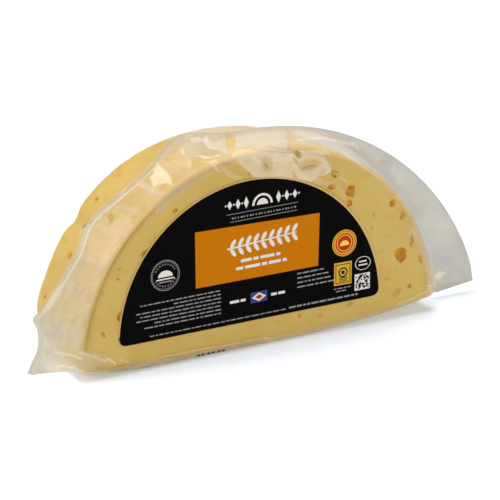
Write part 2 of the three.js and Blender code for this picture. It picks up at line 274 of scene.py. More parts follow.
VEILS_AND_PAINTED_LIGHT = [
    # corners, milkiness, white of folds and painted highlights, painted light from the cheese behind, painted
    # shade; their edges fade
    # cheese that shows through at the left, and its painted light on the milk
    ([(-117.5, 43), (-114, 41.5), (-111, 43.5), (-111.5, 39), (-114, 33), (-116.5, 28.5), (-119, 30),
      (-117.5, 37)], 0.55, 0, 1.0, 0),
    ([(-125.5, 36), (-123, 37.5), (-119.5, 41.5), (-118.5, 39), (-122, 32.5), (-124.5, 30.5)],
      0.55, 0, 1.0, 0),
    ([(-99, 77), (-91.5, 80.5), (-85.5, 77), (-89, 69.5), (-96, 64.5), (-101.5, 61), (-102.5, 67)],
      0.58, 0, 1.0, 0),
    ([(-108, 57.5), (-100.5, 61), (-97, 58), (-102, 51), (-108.5, 49.5), (-111, 53.5)],
      0.58, 0, 1.0, 0),
    # patches of painted shade on the loose film
    ([(-95.5, 77), (-94, 82.5), (-89, 86.5), (-83, 87), (-78, 83), (-77, 77), (-80, 73), (-94, 73.5)],
      0.6, 0, 0.7, 0.05),
    ([(-73, 105.5), (-69, 104.5), (-65, 101), (-60, 97), (-55.5, 93), (-57.5, 90.5), (-64, 94.5),
      (-70, 99.5)], 0.62, 0.04, 0.15, 0.15),
    ([(-43, 119), (-33, 127), (-22.5, 127), (-13.5, 124.5), (-18.5, 112.5), (-27.5, 112.5),
      (-39, 113.5)], 0.62, 0, 0.2, 0.4),
    ([(-52, 108), (-40, 116), (-36.5, 118), (-37.5, 115), (-49, 104)], 0.58, 0, 0.2, 0.35),
    ([(-40.5, 126), (-37, 124), (-37.5, 116), (-40, 114.5), (-40.5, 102.5), (-44, 104.5), (-43.5, 115),
      (-43.5, 123)], 0.6, 0, 0.1, 0.35),
    ([(-75.5, 103.5), (-71, 107), (-64, 114.5), (-59, 118.5), (-53.5, 122.5), (-46.5, 126.5),
      (-41, 130), (-39, 130), (-41.5, 126.5), (-47, 122.5), (-54.5, 117.5), (-59.5, 116),
      (-63.5, 112.5), (-69.5, 107)], 0.68, 0, 0.1, 0.25),
    ([(-89, 90.5), (-83, 92.5), (-75.5, 90), (-72, 84), (-80, 87.5)], 0.6, 0, 0.2, 0.25),
    # fruit that shows through at the upper left, and its painted light on the milk
    ([(-93.5, 87), (-87, 88.5), (-86, 85), (-91, 81), (-93, 82)], 0.3, 0, 1.0, 0),
    # light on the rounded edge at the top left
    ([(-66, 87.5), (-57, 94.5), (-47.5, 101), (-38.5, 104.5), (-32.5, 105), (-29.5, 101.5),
      (-36.5, 97.5), (-45.5, 93), (-54.5, 87.5), (-62, 82.5)], 0.4, 0, 0.6, 0.12),
    # wrinkles of the border at the upper right, with painted highlights
    ([(72, 106), (80, 102), (88, 95), (90, 97), (82, 104), (74, 108.5)], 0.62, 0.22, 0.1, 0),
    ([(96, 88), (101, 84), (104, 79), (106, 81), (102, 87), (98, 90)], 0.6, 0.18, 0.1, 0),
    # milk over the left foot of the cheese
    ([(-103, 15), (-97, 12), (-93, 8), (-92, 3), (-95, -4), (-104, -8)], 0.28, 0, 1.0, 0),
    ([(-124, 17), (-112, 15.5), (-106, 15), (-101.5, 10), (-100.5, 2), (-102, -5), (-104, -12),
      (-124, -4)], 0.62, 0.02, 1.0, 0),
    # gathered film under the front edge, in painted shade at the left
    ([(-92, 0.6), (-78, 1.0), (-50, 0.8), (-24, 0.4), (2, 0.0), (2, -14), (-92, -14)],
      0.72, 0.0, 0.2, 0.45),
    ([(2, 0.6), (36, 0.6), (68, 2.8), (88, 4.8), (100, 6), (104, 2), (88, -3), (68, -6), (36, -12),
      (2, -14)], 0.5, 0.05, 0.3, 0),
    # painted light that the yellow right edge and its lower corner pass on to the milk
    ([(90, 48), (97, 37), (101, 28), (103, 20), (113, 20), (114, 28), (109, 40), (101, 51)],
      0.5, 0.04, 0.8, 0),
    ([(104, 26), (121, 25), (128, 19), (131, 12), (131, 4), (123, -6), (104, 2)], 0.6, 0.04, 1.0, 0),
]
VEIL_SOFT = 2.2  # half the width of a veil's fading edge, in mm
POCKET_SOFT = 0.5  # the same for a pocket's edge, and for the edges below
POCKET_SLOPE = 2.5  # over which a pocket rises to its full lift
FOLD_SOFT = 0.45
GATHER_SOFT = 0.3
GLARE_SOFT = (-1.5, 2)  # from outside the edge of a thin place in the glare to inside it
THIN_GLARE = [
    # corners, share of the glare's white that is missing over a piece of fruit
    ([(22, 96.5), (27, 99), (34, 97.5), (37, 94.5), (31, 92.5), (24, 93)], 0.6),
    ([(-1.5, 104), (2, 105), (6.5, 102), (7, 96.5), (3, 97)], 0.5),
    ([(-21, 106), (-16, 106.5), (-13.5, 104.5), (-18, 103)], 0.5),
]
GATHERS = {
    # short pleats in the loose film under the front edge, each with a painted highlight
    "seed": 17, "count": 44, "from": -96, "to": 8, "top": 0.6, "foot": -7, "lift": 0.15,
}
CREASES_AND_HIGHLIGHTS = [
    # line, width, white of the crease and painted highlight, lift in mm
    # creases along the crown, right of its middle, with painted highlights
    ([(27.5, 114.5), (31.5, 115), (39, 114.5), (46, 114.5), (52, 113), (58, 111.5), (63, 109.5),
      (67.5, 108), (71.5, 106.5), (73.5, 104.5)], 1.3, 0.62, 0.3),
    ([(29.5, 112), (31.5, 107.5), (36, 104.5)], 1.1, 0.5, 0.2),
    ([(69, 108.5), (73.5, 108), (78, 106), (80, 105)], 1.5, 0.35, 0.2),
    ([(49, 106), (53.5, 103.5), (60.5, 102)], 1, 0.2, 0.2),
    # creases at the upper left, with painted highlights
    ([(-21.5, 128), (-22.5, 128.5)], 1, 0.1, 0.1),
    ([(-63, 114), (-67, 111.5), (-71, 108.5), (-77.5, 103.5), (-83.5, 97)], 1.2, 0.6, 0.2),
    # a bent crease and glints in the lower corner at the right
    ([(129, 18.5), (126.5, 14.5), (126, 10.5), (127.5, 8)], 1.1, 0.85, 0.2),
    ([(130.0, 17.5), (130.5, 14.5)], 1.5, 0.8, 0.2),
    ([(106.5, 20), (105.5, 18.5)], 1.3, 0.75, 0.2),
    ([(134.5, 18.0), (133, 16)], 1.8, 0.5, 0.2),
    ([(137, 20.5), (135.5, 19)], 1.6, 0.3, 0.2),
    ([(105, 12), (110, 10.5)], 1.6, 0.7, 0.2),
    # painted highlight along the top of the gathered film under the front edge
    ([(-82, -0.6), (-74, 1.2), (-68, 1.6), (-62, 2.8), (-50, 2.1), (-38, 2.5), (-24, 1.6), (-10, 1.9),
      (3, 1.2)], 0.8, 0.6, 0.15),
    ([(84, 5.5), (93, 6.4), (101, 8.6), (108, 9.0)], 0.9, 0.6, 0.15),
    # glints at the left foot
    ([(-122, 13.6), (-117.5, 12.8), (-113, 11.9), (-108.5, 10.6)], 1.2, 0.8, 0.2),
    ([(-109, 14), (-104.5, 12.6), (-99.5, 10), (-95, 7)], 1.3, 0.7, 0.2),
    ([(-93.5, 8.0), (-91.5, 6.6), (-89, 4.5)], 1.4, 0.7, 0.2),
    ([(-85.5, 6.2), (-83, 4.8), (-80.5, 3.3)], 1.3, 0.55, 0.2),
    ([(-119, 3.2), (-112, 3.0), (-106.5, 2.2), (-102, 0.2)], 1.6, 0.8, 0.2),
    # light along the bottom of the left foot
    ([(-114, -4), (-107, 0.4), (-98, 0.5), (-91, -1)], 1.5, 0.55, 0.1),
    # soft light on the border at the right
    ([(121.5, 53), (123.5, 48.5)], 2.5, 0.1, 0.1),
]

# what each point of the film tells its material: how milky it is, how white it is along folds and in
# painted highlights, how much lighter its milk is painted, how much painted light from the cheese
# behind warms it, and how much painted shade is on it
FILM_VALUES = ("haze", "fold", "air", "glow", "shade")

# ---- the label, in its own millimetres: X from its middle, Z from its lower edge ----
LABEL_RADIUS = (LABEL_HIGH.x - LABEL_LOW.x) / 2 / MM
LABEL_CENTRE_X = (LABEL_HIGH.x + LABEL_LOW.x) / 2 / MM
LABEL_BASE = LABEL_LOW.z / MM
LABEL_CORNER = 5.0
LABEL_LIFT = 0.45  # of the label's face in front of the cheese's plane
LABEL_THICK = 0.12
LABEL_EDGE_DROP = 0.04  # its outermost ring lies this much further back
LABEL_RIPPLES = [(9, 34, 0.10), (10, 11, 0.03)]  # seed, size and height
MARGIN_LEFT, MARGIN_RIGHT = 0.35, 1.5  # width of its unprinted edge at each end of the arc
MARGIN_SINKS = 0.2  # its outer edge lies down to this far in front of the cheese's plane
INK_STEP = 0.035  # each layer of ink stands this far in front of the one below
CODE_BLOCK = 0.84  # side of one block in the square of blocks
PRINT_SEED = 31
HALF_TURN = (0, 180)
QUARTER = math.pi / 2

# ---- the stage, in metres and watts ----
SOFT_BOXES = [
    # name, place, what it looks at, width, height, watts
    ("overhead_box", (-0.09, 0.32, 2.5), (0, 0, 0.05), 1.2, 1.2, 42),
    ("left_box", (-1.87, 0.2, 1.6), (0, 0, 0.08), 1.5, 1.5, 27),
    ("front_box", (0.45, -1.95, 0.85), (0, 0, 0.06), 1.5, 1.5, 17),
    ("rear_box", (1.7, 1.5, 0.35), (0, 0, 0.06), 1.5, 1.0, 7),
]
ROOM_LIGHT = 0.26  # strength of the even light from all round
TABLE_GLOW = 0.22  # light that comes through the table from below
FLOOR_RINGS = (0.5, 1.0, 2.0, 4.0, 8.0)
FLOOR_SIDES = 96
FLOOR_DROP = 0.2 * MM  # it lies this far under the pack
CAMERA_AZIMUTH = math.radians(-28.48)
CAMERA_ELEVATION = math.radians(19.79)
CAMERA_ROLL = math.radians(-0.57)
CAMERA_DISTANCE = 1.839
CAMERA_TARGET = Vector((-7.14, -30.0, 56.52)) * MM
CAMERA_LENS = 248.0  # millimetres, for a sensor 36 mm wide


def srgb(code):
    """Red, green and blue, in shares of 1, of an sRGB hex value such as 'd8c9a6'."""
    return tuple(int(code[i : i + 2], 16) / 255 for i in (0, 2, 4))


def linear(colour):
    """Linear colour, as a shader takes it, of a hex value or of a setting's sRGB shares."""
    def one(share):
        return share / 12.92 if share <= 0.04045 else ((share + 0.055) / 1.055) ** 2.4
    return (*map(one, srgb(colour) if isinstance(colour, str) else colour), 1.0)


class CheeseColours(bpy.types.PropertyGroup):
    """Colours of the food, as they are in plain daylight."""

    cream: FloatVectorProperty(
        name="Cream", description="Main colour of the cheese, sRGB",
        default=srgb("c6a453"), subtype="COLOR_GAMMA", min=0, max=1,
    )
    pale: FloatVectorProperty(
        name="Pale curd", description="Paler curds in the cheese, sRGB",
        default=srgb("cdb062"), subtype="COLOR_GAMMA", min=0, max=1,
    )
    mango: FloatVectorProperty(
        name="Mango", description="Dried mango, sRGB",
        default=srgb("c48200"), subtype="COLOR_GAMMA", min=0, max=1,
    )
    ginger: FloatVectorProperty(
        name="Ginger", description="Crystallised ginger, sRGB",
        default=srgb("b2911f"), subtype="COLOR_GAMMA", min=0, max=1,
    )


class FilmSizes(bpy.types.PropertyGroup):
    """How the vacuum film is creased."""

    crumple: FloatProperty(
        name="Crumple", description="Height of the creases where the film stands off the cheese",
        default=0.0005, min=0, max=0.003, unit="LENGTH", subtype="DISTANCE", precision=5,
    )
    pleats: IntProperty(
        name="Pleats", description="Folds that run out from the rim to the seal", default=70, min=0, max=300,
    )


class LabelColours(bpy.types.PropertyGroup):
    """Inks of the label."""

    ground: FloatVectorProperty(
        name="Ground", description="Black ground of the label, sRGB",
        default=srgb("050404"), subtype="COLOR_GAMMA", min=0, max=1,
    )
    panel: FloatVectorProperty(
        name="Panel", description="Large panel in the middle, sRGB",
        default=srgb("be6e03"), subtype="COLOR_GAMMA", min=0, max=1,
    )


# ---- forms that the pieces share ----
def smooth(values, low, high):
    """Share from 0 to 1 of the way between two values, with a soft start and end."""
    share = np.clip((np.asarray(values, float) - low) / (high - low), 0, 1)
    return share * share * (3 - 2 * share)


def mix(a, b, share):
    return a + (b - a) * share


def bump(degrees, place):
    """A soft bell round a place on the rim, 1 at its middle."""
    return np.exp(-(((degrees - place["at"]) / place["width"]) ** 2))


def rear_dip(degrees, y):
    """How far the rim is sunk in at some degrees and depth."""
    dip = sum(place["depth"] * bump(degrees, place) for place in REAR_DIPS)
    return dip * smooth(y, FRONT / 2, REAR)


def border_reach(degrees):
    """Distance of the border's cut edge from the half disc's centre."""
    turn = np.radians(degrees)
    along = BORDER_CENTRE_X * np.cos(turn) - BORDER_CENTRE_DROP * np.sin(turn)
    offset = BORDER_CENTRE_X**2 + BORDER_CENTRE_DROP**2
    reach = along + np.sqrt(along**2 + BORDER_RADIUS**2 - offset)
    return reach + sum(place["out"] * bump(degrees, place) for place in BORDER_RIPPLES)


def border_setback(degrees):
    """How far the seal lies behind the front face."""
    back = BORDER_SETBACK - LEAN_FORWARD * smooth(degrees, *LEAN_BETWEEN)
    return back + sum(place["back"] * bump(degrees, place) for place in BORDER_RIPPLES)


def strip_width(degrees):
    """Width of the sealed strip between its crease and its cut edge."""
    right = (STRIP_RIGHT - STRIP_CROWN) * (1 - smooth(degrees, *STRIP_NARROWS))
    left = (STRIP_LEFT - STRIP_CROWN) * smooth(degrees, *STRIP_WIDENS)
    return STRIP_CROWN + right + left


def quadratic(start, pull, end, facet):
    """Points along a bent line, evenly in its parameter and without the last one."""
    start, pull, end = (np.array(point, float) for point in (start, pull, end))
    steps = max(2, int(np.linalg.norm(end - start) / facet))
    t = np.arange(steps)[:, None] / steps
    return (1 - t) ** 2 * start + 2 * t * (1 - t) * pull + t**2 * end


def rounded_end(side, rise, corner_round):
    """A lower corner: its point on the rim, its tip, its point on the base, and its lift."""
    above = rise + corner_round - CENTRE_HEIGHT
    rim_point = (side * math.sqrt(WHEEL_RADIUS**2 - above**2), rise + corner_round)
    bow_point = (side * (WHEEL_RADIUS - corner_round), rise - END_DIP)
    return rim_point, (side * WHEEL_RADIUS, rise), bow_point, math.asin(above / WHEEL_RADIUS)


class Outline:
    """Outline of the half disc, anticlockwise from the right end: points, normals and degrees."""

    CROWN_CLEAR = 75  # degrees on each side of the crown where no ring folds over
    FOLD_GAP = 3  # points that part one fold from the next
    FOLD_SPAN = 60  # points that a straightened fold takes in at most
    FOLD_ADVANCE = 0.1  # mm by which the ring goes on across a straightened fold

    def __init__(self, rim_facet, end_facet, base_facet):
        rim_left, corner_left, bow_left, lift_left = rounded_end(-1, RISE_LEFT, END_ROUND_LEFT)
        rim_right, corner_right, bow_right, lift_right = rounded_end(1, RISE_RIGHT, END_ROUND_RIGHT)
        sweep = math.pi - lift_left - lift_right
        steps = int(sweep * WHEEL_RADIUS / rim_facet)
        turns = lift_right + sweep * np.arange(steps) / steps
        rim = np.stack([np.cos(turns), np.sin(turns)], 1) * WHEEL_RADIUS + (0, CENTRE_HEIGHT)
        pull_left = ((FLAT_LEFT - WHEEL_RADIUS) / 2, 0)
        pull_right = ((FLAT_RIGHT + WHEEL_RADIUS) / 2, 0)
        flat_middle = ((FLAT_LEFT + FLAT_RIGHT) / 2, 0)
        self.points = np.concatenate([
            rim,
            quadratic(rim_left, corner_left, bow_left, end_facet),
            quadratic(bow_left, pull_left, (FLAT_LEFT, 0), base_facet),
            quadratic((FLAT_LEFT, 0), flat_middle, (FLAT_RIGHT, 0), base_facet),
            quadratic((FLAT_RIGHT, 0), pull_right, bow_right, base_facet),
            quadratic(bow_right, corner_right, rim_right, end_facet),
        ])
        along = np.roll(self.points, -1, 0) - np.roll(self.points, 1, 0)
        along /= np.linalg.norm(along, axis=1)[:, None]
        self.normals = np.stack([along[:, 1], -along[:, 0]], 1)
        x, z = self.points[:, 0], self.points[:, 1] - CENTRE_HEIGHT
        degrees = np.degrees(np.arctan2(z, x))
        self.degrees = np.where(degrees < -90, degrees + 360, degrees)
        self.count = len(self.points)
        self.down = np.maximum(0, -self.normals[:, 1])

    def side(self, back, inset=0.0):
        """Points of the side, each at its own distance behind the front face."""
        down = self.down**4
        height = mix(FRONT_ROUND, TUCK_HEIGHT, down)
        depth = mix(FRONT_ROUND, TUCK_DEPTH, down)
        back = np.broadcast_to(np.asarray(back, float), (self.count,))
        front_turn = np.arccos(np.clip(1 - back / depth, 0, 1))
        rear_turn = np.arccos(np.clip(1 - (THICKNESS - back) / REAR_ROUND, 0, 1))
        sunk = (1 - np.sin(front_turn)) * height + (1 - np.sin(rear_turn)) * REAR_ROUND
        sunk = sunk + rear_dip(self.degrees, FRONT + back) + inset
        y = np.clip(FRONT + back, FRONT + inset, REAR - inset)
        xz = self.unfolded(self.points - self.normals * sunk[:, None])
        return np.stack([xz[:, 0], y, xz[:, 1]], 1)

    def unfolded(self, ring):
        """A ring without the loop that it makes where it is drawn in past a tight lower corner."""
        onward = np.stack([-self.normals[:, 1], self.normals[:, 0]], 1)
        steps = np.roll(ring, -1, 0) - ring
        backward = np.flatnonzero((steps * onward).sum(1) < 0)
        backward = backward[np.abs(self.degrees[backward] - 90) > self.CROWN_CLEAR]
        for run in np.split(backward, np.flatnonzero(np.diff(backward) > self.FOLD_GAP) + 1):
            if len(run) == 0:
                continue
            first, last = run[0], run[-1] + 1
            middle = onward[(first + last) // 2 % self.count]
            while last - first < self.FOLD_SPAN:
                if (ring[last % self.count] - ring[first % self.count]) @ middle >= self.FOLD_ADVANCE:
                    break
                first, last = first - 1, last + 1
            inside = np.arange(first, last + 1) % self.count
            shares = np.linspace(0, 1, len(inside))[:, None]
            ring[inside] = mix(ring[inside[0]], ring[inside[-1]], shares)
        return ring

    def face(self, edge, share):
        """One ring of a flat face: its edge drawn in towards its middle."""
        return mix(np.array([0, edge[0, 1], MIDDLE_HEIGHT]), edge, share)

    def front_depth(self):
        return mix(FRONT_ROUND, TUCK_DEPTH, self.down**4)


def grid_faces(rows, columns, closed=True):
    """Quads of a grid of points, row after row. A closed one runs round in its columns."""
    faces = []
    for start in range(0, (rows - 1) * columns, columns):
        for here in range(columns if closed else columns - 1):
            onward = (here + 1) % columns
            faces.append((start + here, start + columns + here, start + columns + onward, start + onward))
    return faces


def capped_faces(rows, columns):
    """Faces of a skin through closed rings of points, and of its two ends. The middle of the
    first ring and that of the last come after the rings' own points."""
    middle, start = rows * columns, (rows - 1) * columns
    faces = grid_faces(rows, columns)
    faces += [(middle, i, (i + 1) % columns) for i in range(columns)]
    faces += [(middle + 1, start + (i + 1) % columns, start + i) for i in range(columns)]
    return faces


def capped_grid(rows):
    """Points and faces of a skin through closed rings, with its first and last ring closed."""
    points = np.concatenate([*rows, rows[0].mean(0)[None], rows[-1].mean(0)[None]])
    return points, capped_faces(len(rows), len(rows[0]))


def wave(points, size, seed, octaves=2):
    """Soft noise from about -1 to 1 at points in millimetres, with swells of a given size."""
    shift = Vector((7.3, 3.1, 1.7)) * seed
    return np.array([noise.fractal(Vector(p) / size + shift, 1.0, 2.0, octaves) for p in points])


def crumple(points, size, seed, octaves=2):
    """Noise from 0 to about 1 with sharp creases, as in crumpled film."""
    shift = Vector((5.1, 9.7, 2.3)) * seed
    return np.array([noise.turbulence(Vector(p) / size + shift, octaves, True) for p in points])


def add_piece(name, points, faces, material, values=None):
    """Makes an object of points in millimetres, with numbers at its points for its material."""
    mesh = bpy.data.meshes.new(name)
    mesh.from_pydata((np.asarray(points) * MM).tolist(), [], faces)
    mesh.polygons.foreach_set("use_smooth", [True] * len(mesh.polygons))
    for key, numbers in (values or {}).items():
        attribute = mesh.attributes.new(key, "FLOAT", "POINT")
        attribute.data.foreach_set("value", np.asarray(numbers, np.float32))
    mesh.materials.append(material)
    mesh.update()
    piece = bpy.data.objects.new(name, mesh)
    bpy.context.scene.collection.objects.link(piece)
    return piece


def hand_over(piece, node):
    """The piece moves with the object and stands in for a node, which is hidden."""
    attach(piece, "root")
    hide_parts(node)


# ---- materials ----
def add_node(tree, kind, settings=None, inputs=None):
    """Adds a node. Settings are its own properties; inputs are numbers, colours or outputs."""
    added = tree.nodes.new(kind)
    for key, value in (settings or {}).items():
        setattr(added, key, value)
    for key, value in (inputs or {}).items():
        if isinstance(value, bpy.types.NodeSocket):
            tree.links.new(value, added.inputs[key])
        else:
            added.inputs[key].default_value = value
    return added


def new_material(name):
    """An empty node material, its node tree, and places on its piece for patterns to use."""
    material = bpy.data.materials.new(name)
    material.use_nodes = True
    tree = material.node_tree
    tree.nodes.clear()
    return material, tree, add_node(tree, "ShaderNodeTexCoord").outputs["Object"]


def layered_colour(tree, colour, layers):
    """A colour with others laid over it in turn, each with the share of it that shows."""
    for share, over in layers:
        laid = add_node(tree, "ShaderNodeMix", {"data_type": "RGBA"}, {0: share, 6: colour, 7: over})
        colour = laid.outputs[2]
    return colour


def soft_patches(tree, place, size, detail, levels, shares, distortion=0.0):
    """Random patches of a size in millimetres. Their strength goes from the first of the shares
    to the second where the noise goes from the first of its levels to the second."""
    clouds = add_node(
        tree, "ShaderNodeTexNoise",
        inputs={"Vector": place, "Scale": 1 / (size * MM), "Detail": detail, "Distortion": distortion},
    )
    strength = add_node(
        tree, "ShaderNodeMapRange",
        inputs={0: clouds.outputs["Fac"], 1: levels[0], 2: levels[1], 3: shares[0], 4: shares[1]},
    )
    return strength.outputs[0]


def fine_relief(tree, place, size, detail, strength, height, distortion=0.0):
    """A surface that random bumps make uneven, of a size and a height in millimetres."""
    bumps = add_node(
        tree, "ShaderNodeTexNoise",
        inputs={"Vector": place, "Scale": 1 / (size * MM), "Detail": detail, "Distortion": distortion},
    )
    relief = add_node(
        tree, "ShaderNodeBump",
        inputs={"Height": bumps.outputs["Fac"], "Strength": strength, "Distance": height * MM},
    )
    return relief.outputs["Normal"]


def cheese_colour(tree, place, colours):
    """Colour of the cheese: pressed curds a few millimetres across, in faintly unlike creams,
    with painted shade, deeper and olive, along its front edge at the left."""
    curds = add_node(
        tree, "ShaderNodeTexVoronoi", {"feature": "SMOOTH_F1"},
        {"Vector": place, "Scale": 1 / (5.0 * MM), "Smoothness": 1.0, "Randomness": 1.0},
    )
    curd_share = add_node(
        tree, "ShaderNodeMapRange", inputs={0: curds.outputs["Distance"], 1: 0.1, 2: 0.8, 3: 0.0, 4: 0.35},
    )
    clouds = soft_patches(tree, place, size=22.0, detail=3.0, levels=(0.35, 0.7), shares=(0.0, 0.6))
    paler = add_node(tree, "ShaderNodeMath", {"operation": "ADD"}, {0: curd_share.outputs[0], 1: clouds})
    stains = soft_patches(
        tree, place, size=7.0, detail=2.0, levels=(0.52, 0.72), shares=(0.0, 0.5), distortion=0.5,
    )
    # painted shade, deeper and olive, along the front edge at the left
    dried = add_node(tree, "ShaderNodeAttribute", {"attribute_name": "dried"})
    return layered_colour(tree, linear(colours.cream), [
        (paler.outputs[0], linear(colours.pale)),
        (stains, linear("c99a4e")),
        (dried.outputs["Fac"], linear("a98a34")),
    ])


def cheese_material(colours):
    """Blended white cheese, milled and pressed: matt and close, faintly mottled by its curds,
    with light going a little way in."""
    material, tree, place = new_material("Blended cheese, milled and pressed")
    shader = add_node(
        tree, "ShaderNodeBsdfPrincipled",
        inputs={
            "Base Color": cheese_colour(tree, place, colours), "Roughness": 0.55, "IOR": 1.45,
            "Specular IOR Level": 0.1,
            "Normal": fine_relief(tree, place, size=1.6, detail=4.0, strength=0.25, height=0.25),
            "Subsurface Weight": 0.35, "Subsurface Radius": (1.0, 0.55, 0.2),
            "Subsurface Scale": 3.0 * MM,
        },
    )
    add_node(tree, "ShaderNodeOutputMaterial", inputs={"Surface": shader.outputs[0]})
    return material


def fruit_material(name, colours, flesh, dark):
    """Moist fruit set in cheese: amber and a little uneven, paler where cheese lies over it."""
    material, tree, place = new_material(name)
    streaks = soft_patches(tree, place, size=3.0, detail=3.0, levels=(0.4, 0.62), shares=(0.0, 1.0))
    cover = add_node(tree, "ShaderNodeAttribute", {"attribute_name": "cover"})
    colour = layered_colour(tree, flesh, [
        (streaks, dark),
        (cover.outputs["Fac"], cheese_colour(tree, place, colours)),
    ])
    shader = add_node(
        tree, "ShaderNodeBsdfPrincipled",
        inputs={
            "Base Color": colour, "Roughness": 0.4, "IOR": 1.45, "Specular IOR Level": 0.1,
            "Normal": fine_relief(tree, place, size=3.0, detail=3.0, strength=0.3, height=0.3),
            "Subsurface Weight": 0.1, "Subsurface Radius": (1.0, 0.6, 0.25),
            "Subsurface Scale": 0.8 * MM,
        },
    )
    add_node(tree, "ShaderNodeOutputMaterial", inputs={"Surface": shader.outputs[0]})
    return material


def film_colour(tree, place, fold, air, glow, shade):
    """Colour of the film where it is milky: grey-white, lighter where light is painted on the milk,
    warm with painted light from the cheese behind it, white along its folds and in painted
    highlights, and darker in painted shade."""
    # painted light from the cheese behind, paler where the milk is painted lighter
    through = layered_colour(tree, linear("d8bc80"), [(air, linear("d4be98"))])
    tinge = soft_patches(tree, place, size=11.0, detail=2.0, levels=(0.42, 0.62), shares=(0.0, 0.35))
    return layered_colour(tree, linear("c0bbb2"), [
        # painted light: the milk lighter and warmer
        (air, linear("cbc2b0")),
        (tinge, linear("cdc4a4")),
        (glow, through),
        # white of folds and painted highlights
        (fold, linear("f6e6cc")),
        (shade, linear("9c8f7e")),
    ])


def film_material():
    """Polyamide and polyethylene vacuum film, blown and heat sealed: clear where it lies wet on
    the cheese, milky where it stands off, white along its folds and in painted highlights, with
    painted light and shade in its milky colour, and glossy everywhere."""
    material, tree, place = new_material("PA-PE vacuum film, blown and heat sealed")
    haze, fold, air, glow, shade = (
        add_node(tree, "ShaderNodeAttribute", {"attribute_name": key}).outputs["Fac"] for key in FILM_VALUES
    )
    uneven = soft_patches(tree, place, size=16.0, detail=3.0, levels=(0.35, 0.65), shares=(0.92, 1.08))
    milk = add_node(tree, "ShaderNodeMath", {"operation": "MULTIPLY"}, {0: haze, 1: uneven})
    broken = soft_patches(
        tree, place, size=9.0, detail=2.0, levels=(0.36, 0.6), shares=(0.86, 1.06), distortion=0.6,
    )
    # white of folds and painted highlights, broken up a little
    white = add_node(tree, "ShaderNodeMath", {"operation": "MULTIPLY"}, {0: fold, 1: broken})
    cover = add_node(
        tree, "ShaderNodeMath", {"operation": "MAXIMUM", "use_clamp": True},
        {0: milk.outputs[0], 1: white.outputs[0]},
    )
    clear = add_node(tree, "ShaderNodeBsdfTransparent", inputs={"Color": linear("ffffff")})
    milky = add_node(
        tree, "ShaderNodeBsdfPrincipled",
        inputs={
            "Base Color": film_colour(tree, place, fold, air, glow, shade), "Roughness": 0.5, "IOR": 1.5,
            "Specular IOR Level": 0.0, "Transmission Weight": 0.0,
        },
    )
    body = add_node(
        tree, "ShaderNodeMixShader", inputs={0: cover.outputs[0], 1: clear.outputs[0], 2: milky.outputs[0]},
    )
    creased = fine_relief(tree, place, size=4.0, detail=2.0, strength=0.25, height=0.3, distortion=0.4)
    facing = add_node(tree, "ShaderNodeLayerWeight", inputs={"Blend": 0.5, "Normal": creased})
    steep = add_node(
        tree, "ShaderNodeMath", {"operation": "POWER"}, {0: facing.outputs["Facing"], 1: 5.0},
    )
    grazing = add_node(tree, "ShaderNodeMapRange", inputs={0: haze, 1: 0.0, 2: 0.7, 3: 0.7, 4: 0.12})
    mirrored = add_node(
        tree, "ShaderNodeMath", {"operation": "MULTIPLY_ADD", "use_clamp": True},
        {0: steep.outputs[0], 1: grazing.outputs[0], 2: 0.006},
    )
    gloss = add_node(
        tree, "ShaderNodeBsdfPrincipled",
        inputs={"Base Color": linear("ffffff"), "Metallic": 1.0, "Roughness": 0.12, "Normal": creased},
    )
    film = add_node(
        tree, "ShaderNodeMixShader", inputs={0: mirrored.outputs[0], 1: body.outputs[0], 2: gloss.outputs[0]},
    )
    add_node(tree, "ShaderNodeOutputMaterial", inputs={"Surface": film.outputs[0]})
    return material


def print_material(name, colour):
    """Flexo ink under varnish on polypropylene: flat colour with a soft satin gloss and the
    faint orange peel of the film."""
    material, tree, place = new_material(name)
    worn = (*(share * 1.25 + 0.004 for share in colour[:3]), 1.0)
    specks = soft_patches(tree, place, size=7.0, detail=3.0, levels=(0.3, 0.7), shares=(0.0, 0.12))
    shader = add_node(
        tree, "ShaderNodeBsdfPrincipled",
        inputs={
            "Base Color": layered_colour(tree, colour, [(specks, worn)]), "Roughness": 0.32, "IOR": 1.5,
            "Specular IOR Level": 0.02,
            "Normal": fine_relief(tree, place, size=7.0, detail=3.0, strength=0.15, height=0.2),
        },
    )
    add_node(tree, "ShaderNodeOutputMaterial", inputs={"Surface": shader.outputs[0]})
    return material


def table_material():
    """Opal acrylic light table, cast and sanded: even white, without gloss, and lit from below."""
    material, tree, place = new_material("Opal acrylic light table, sanded")
    clouds = soft_patches(tree, place, size=333.3, detail=2.0, levels=(0.3, 0.7), shares=(0.0, 0.03))
    shader = add_node(
        tree, "ShaderNodeBsdfPrincipled",
        inputs={
            "Base Color": layered_colour(tree, linear("e4ecf7"), [(clouds, linear("dadada"))]),
            "Roughness": 0.9, "Specular IOR Level": 0.1,
            "Emission Color": linear("ffffff"), "Emission Strength": TABLE_GLOW,
        },
    )
    add_node(tree, "ShaderNodeOutputMaterial", inputs={"Surface": shader.outputs[0]})
    return material


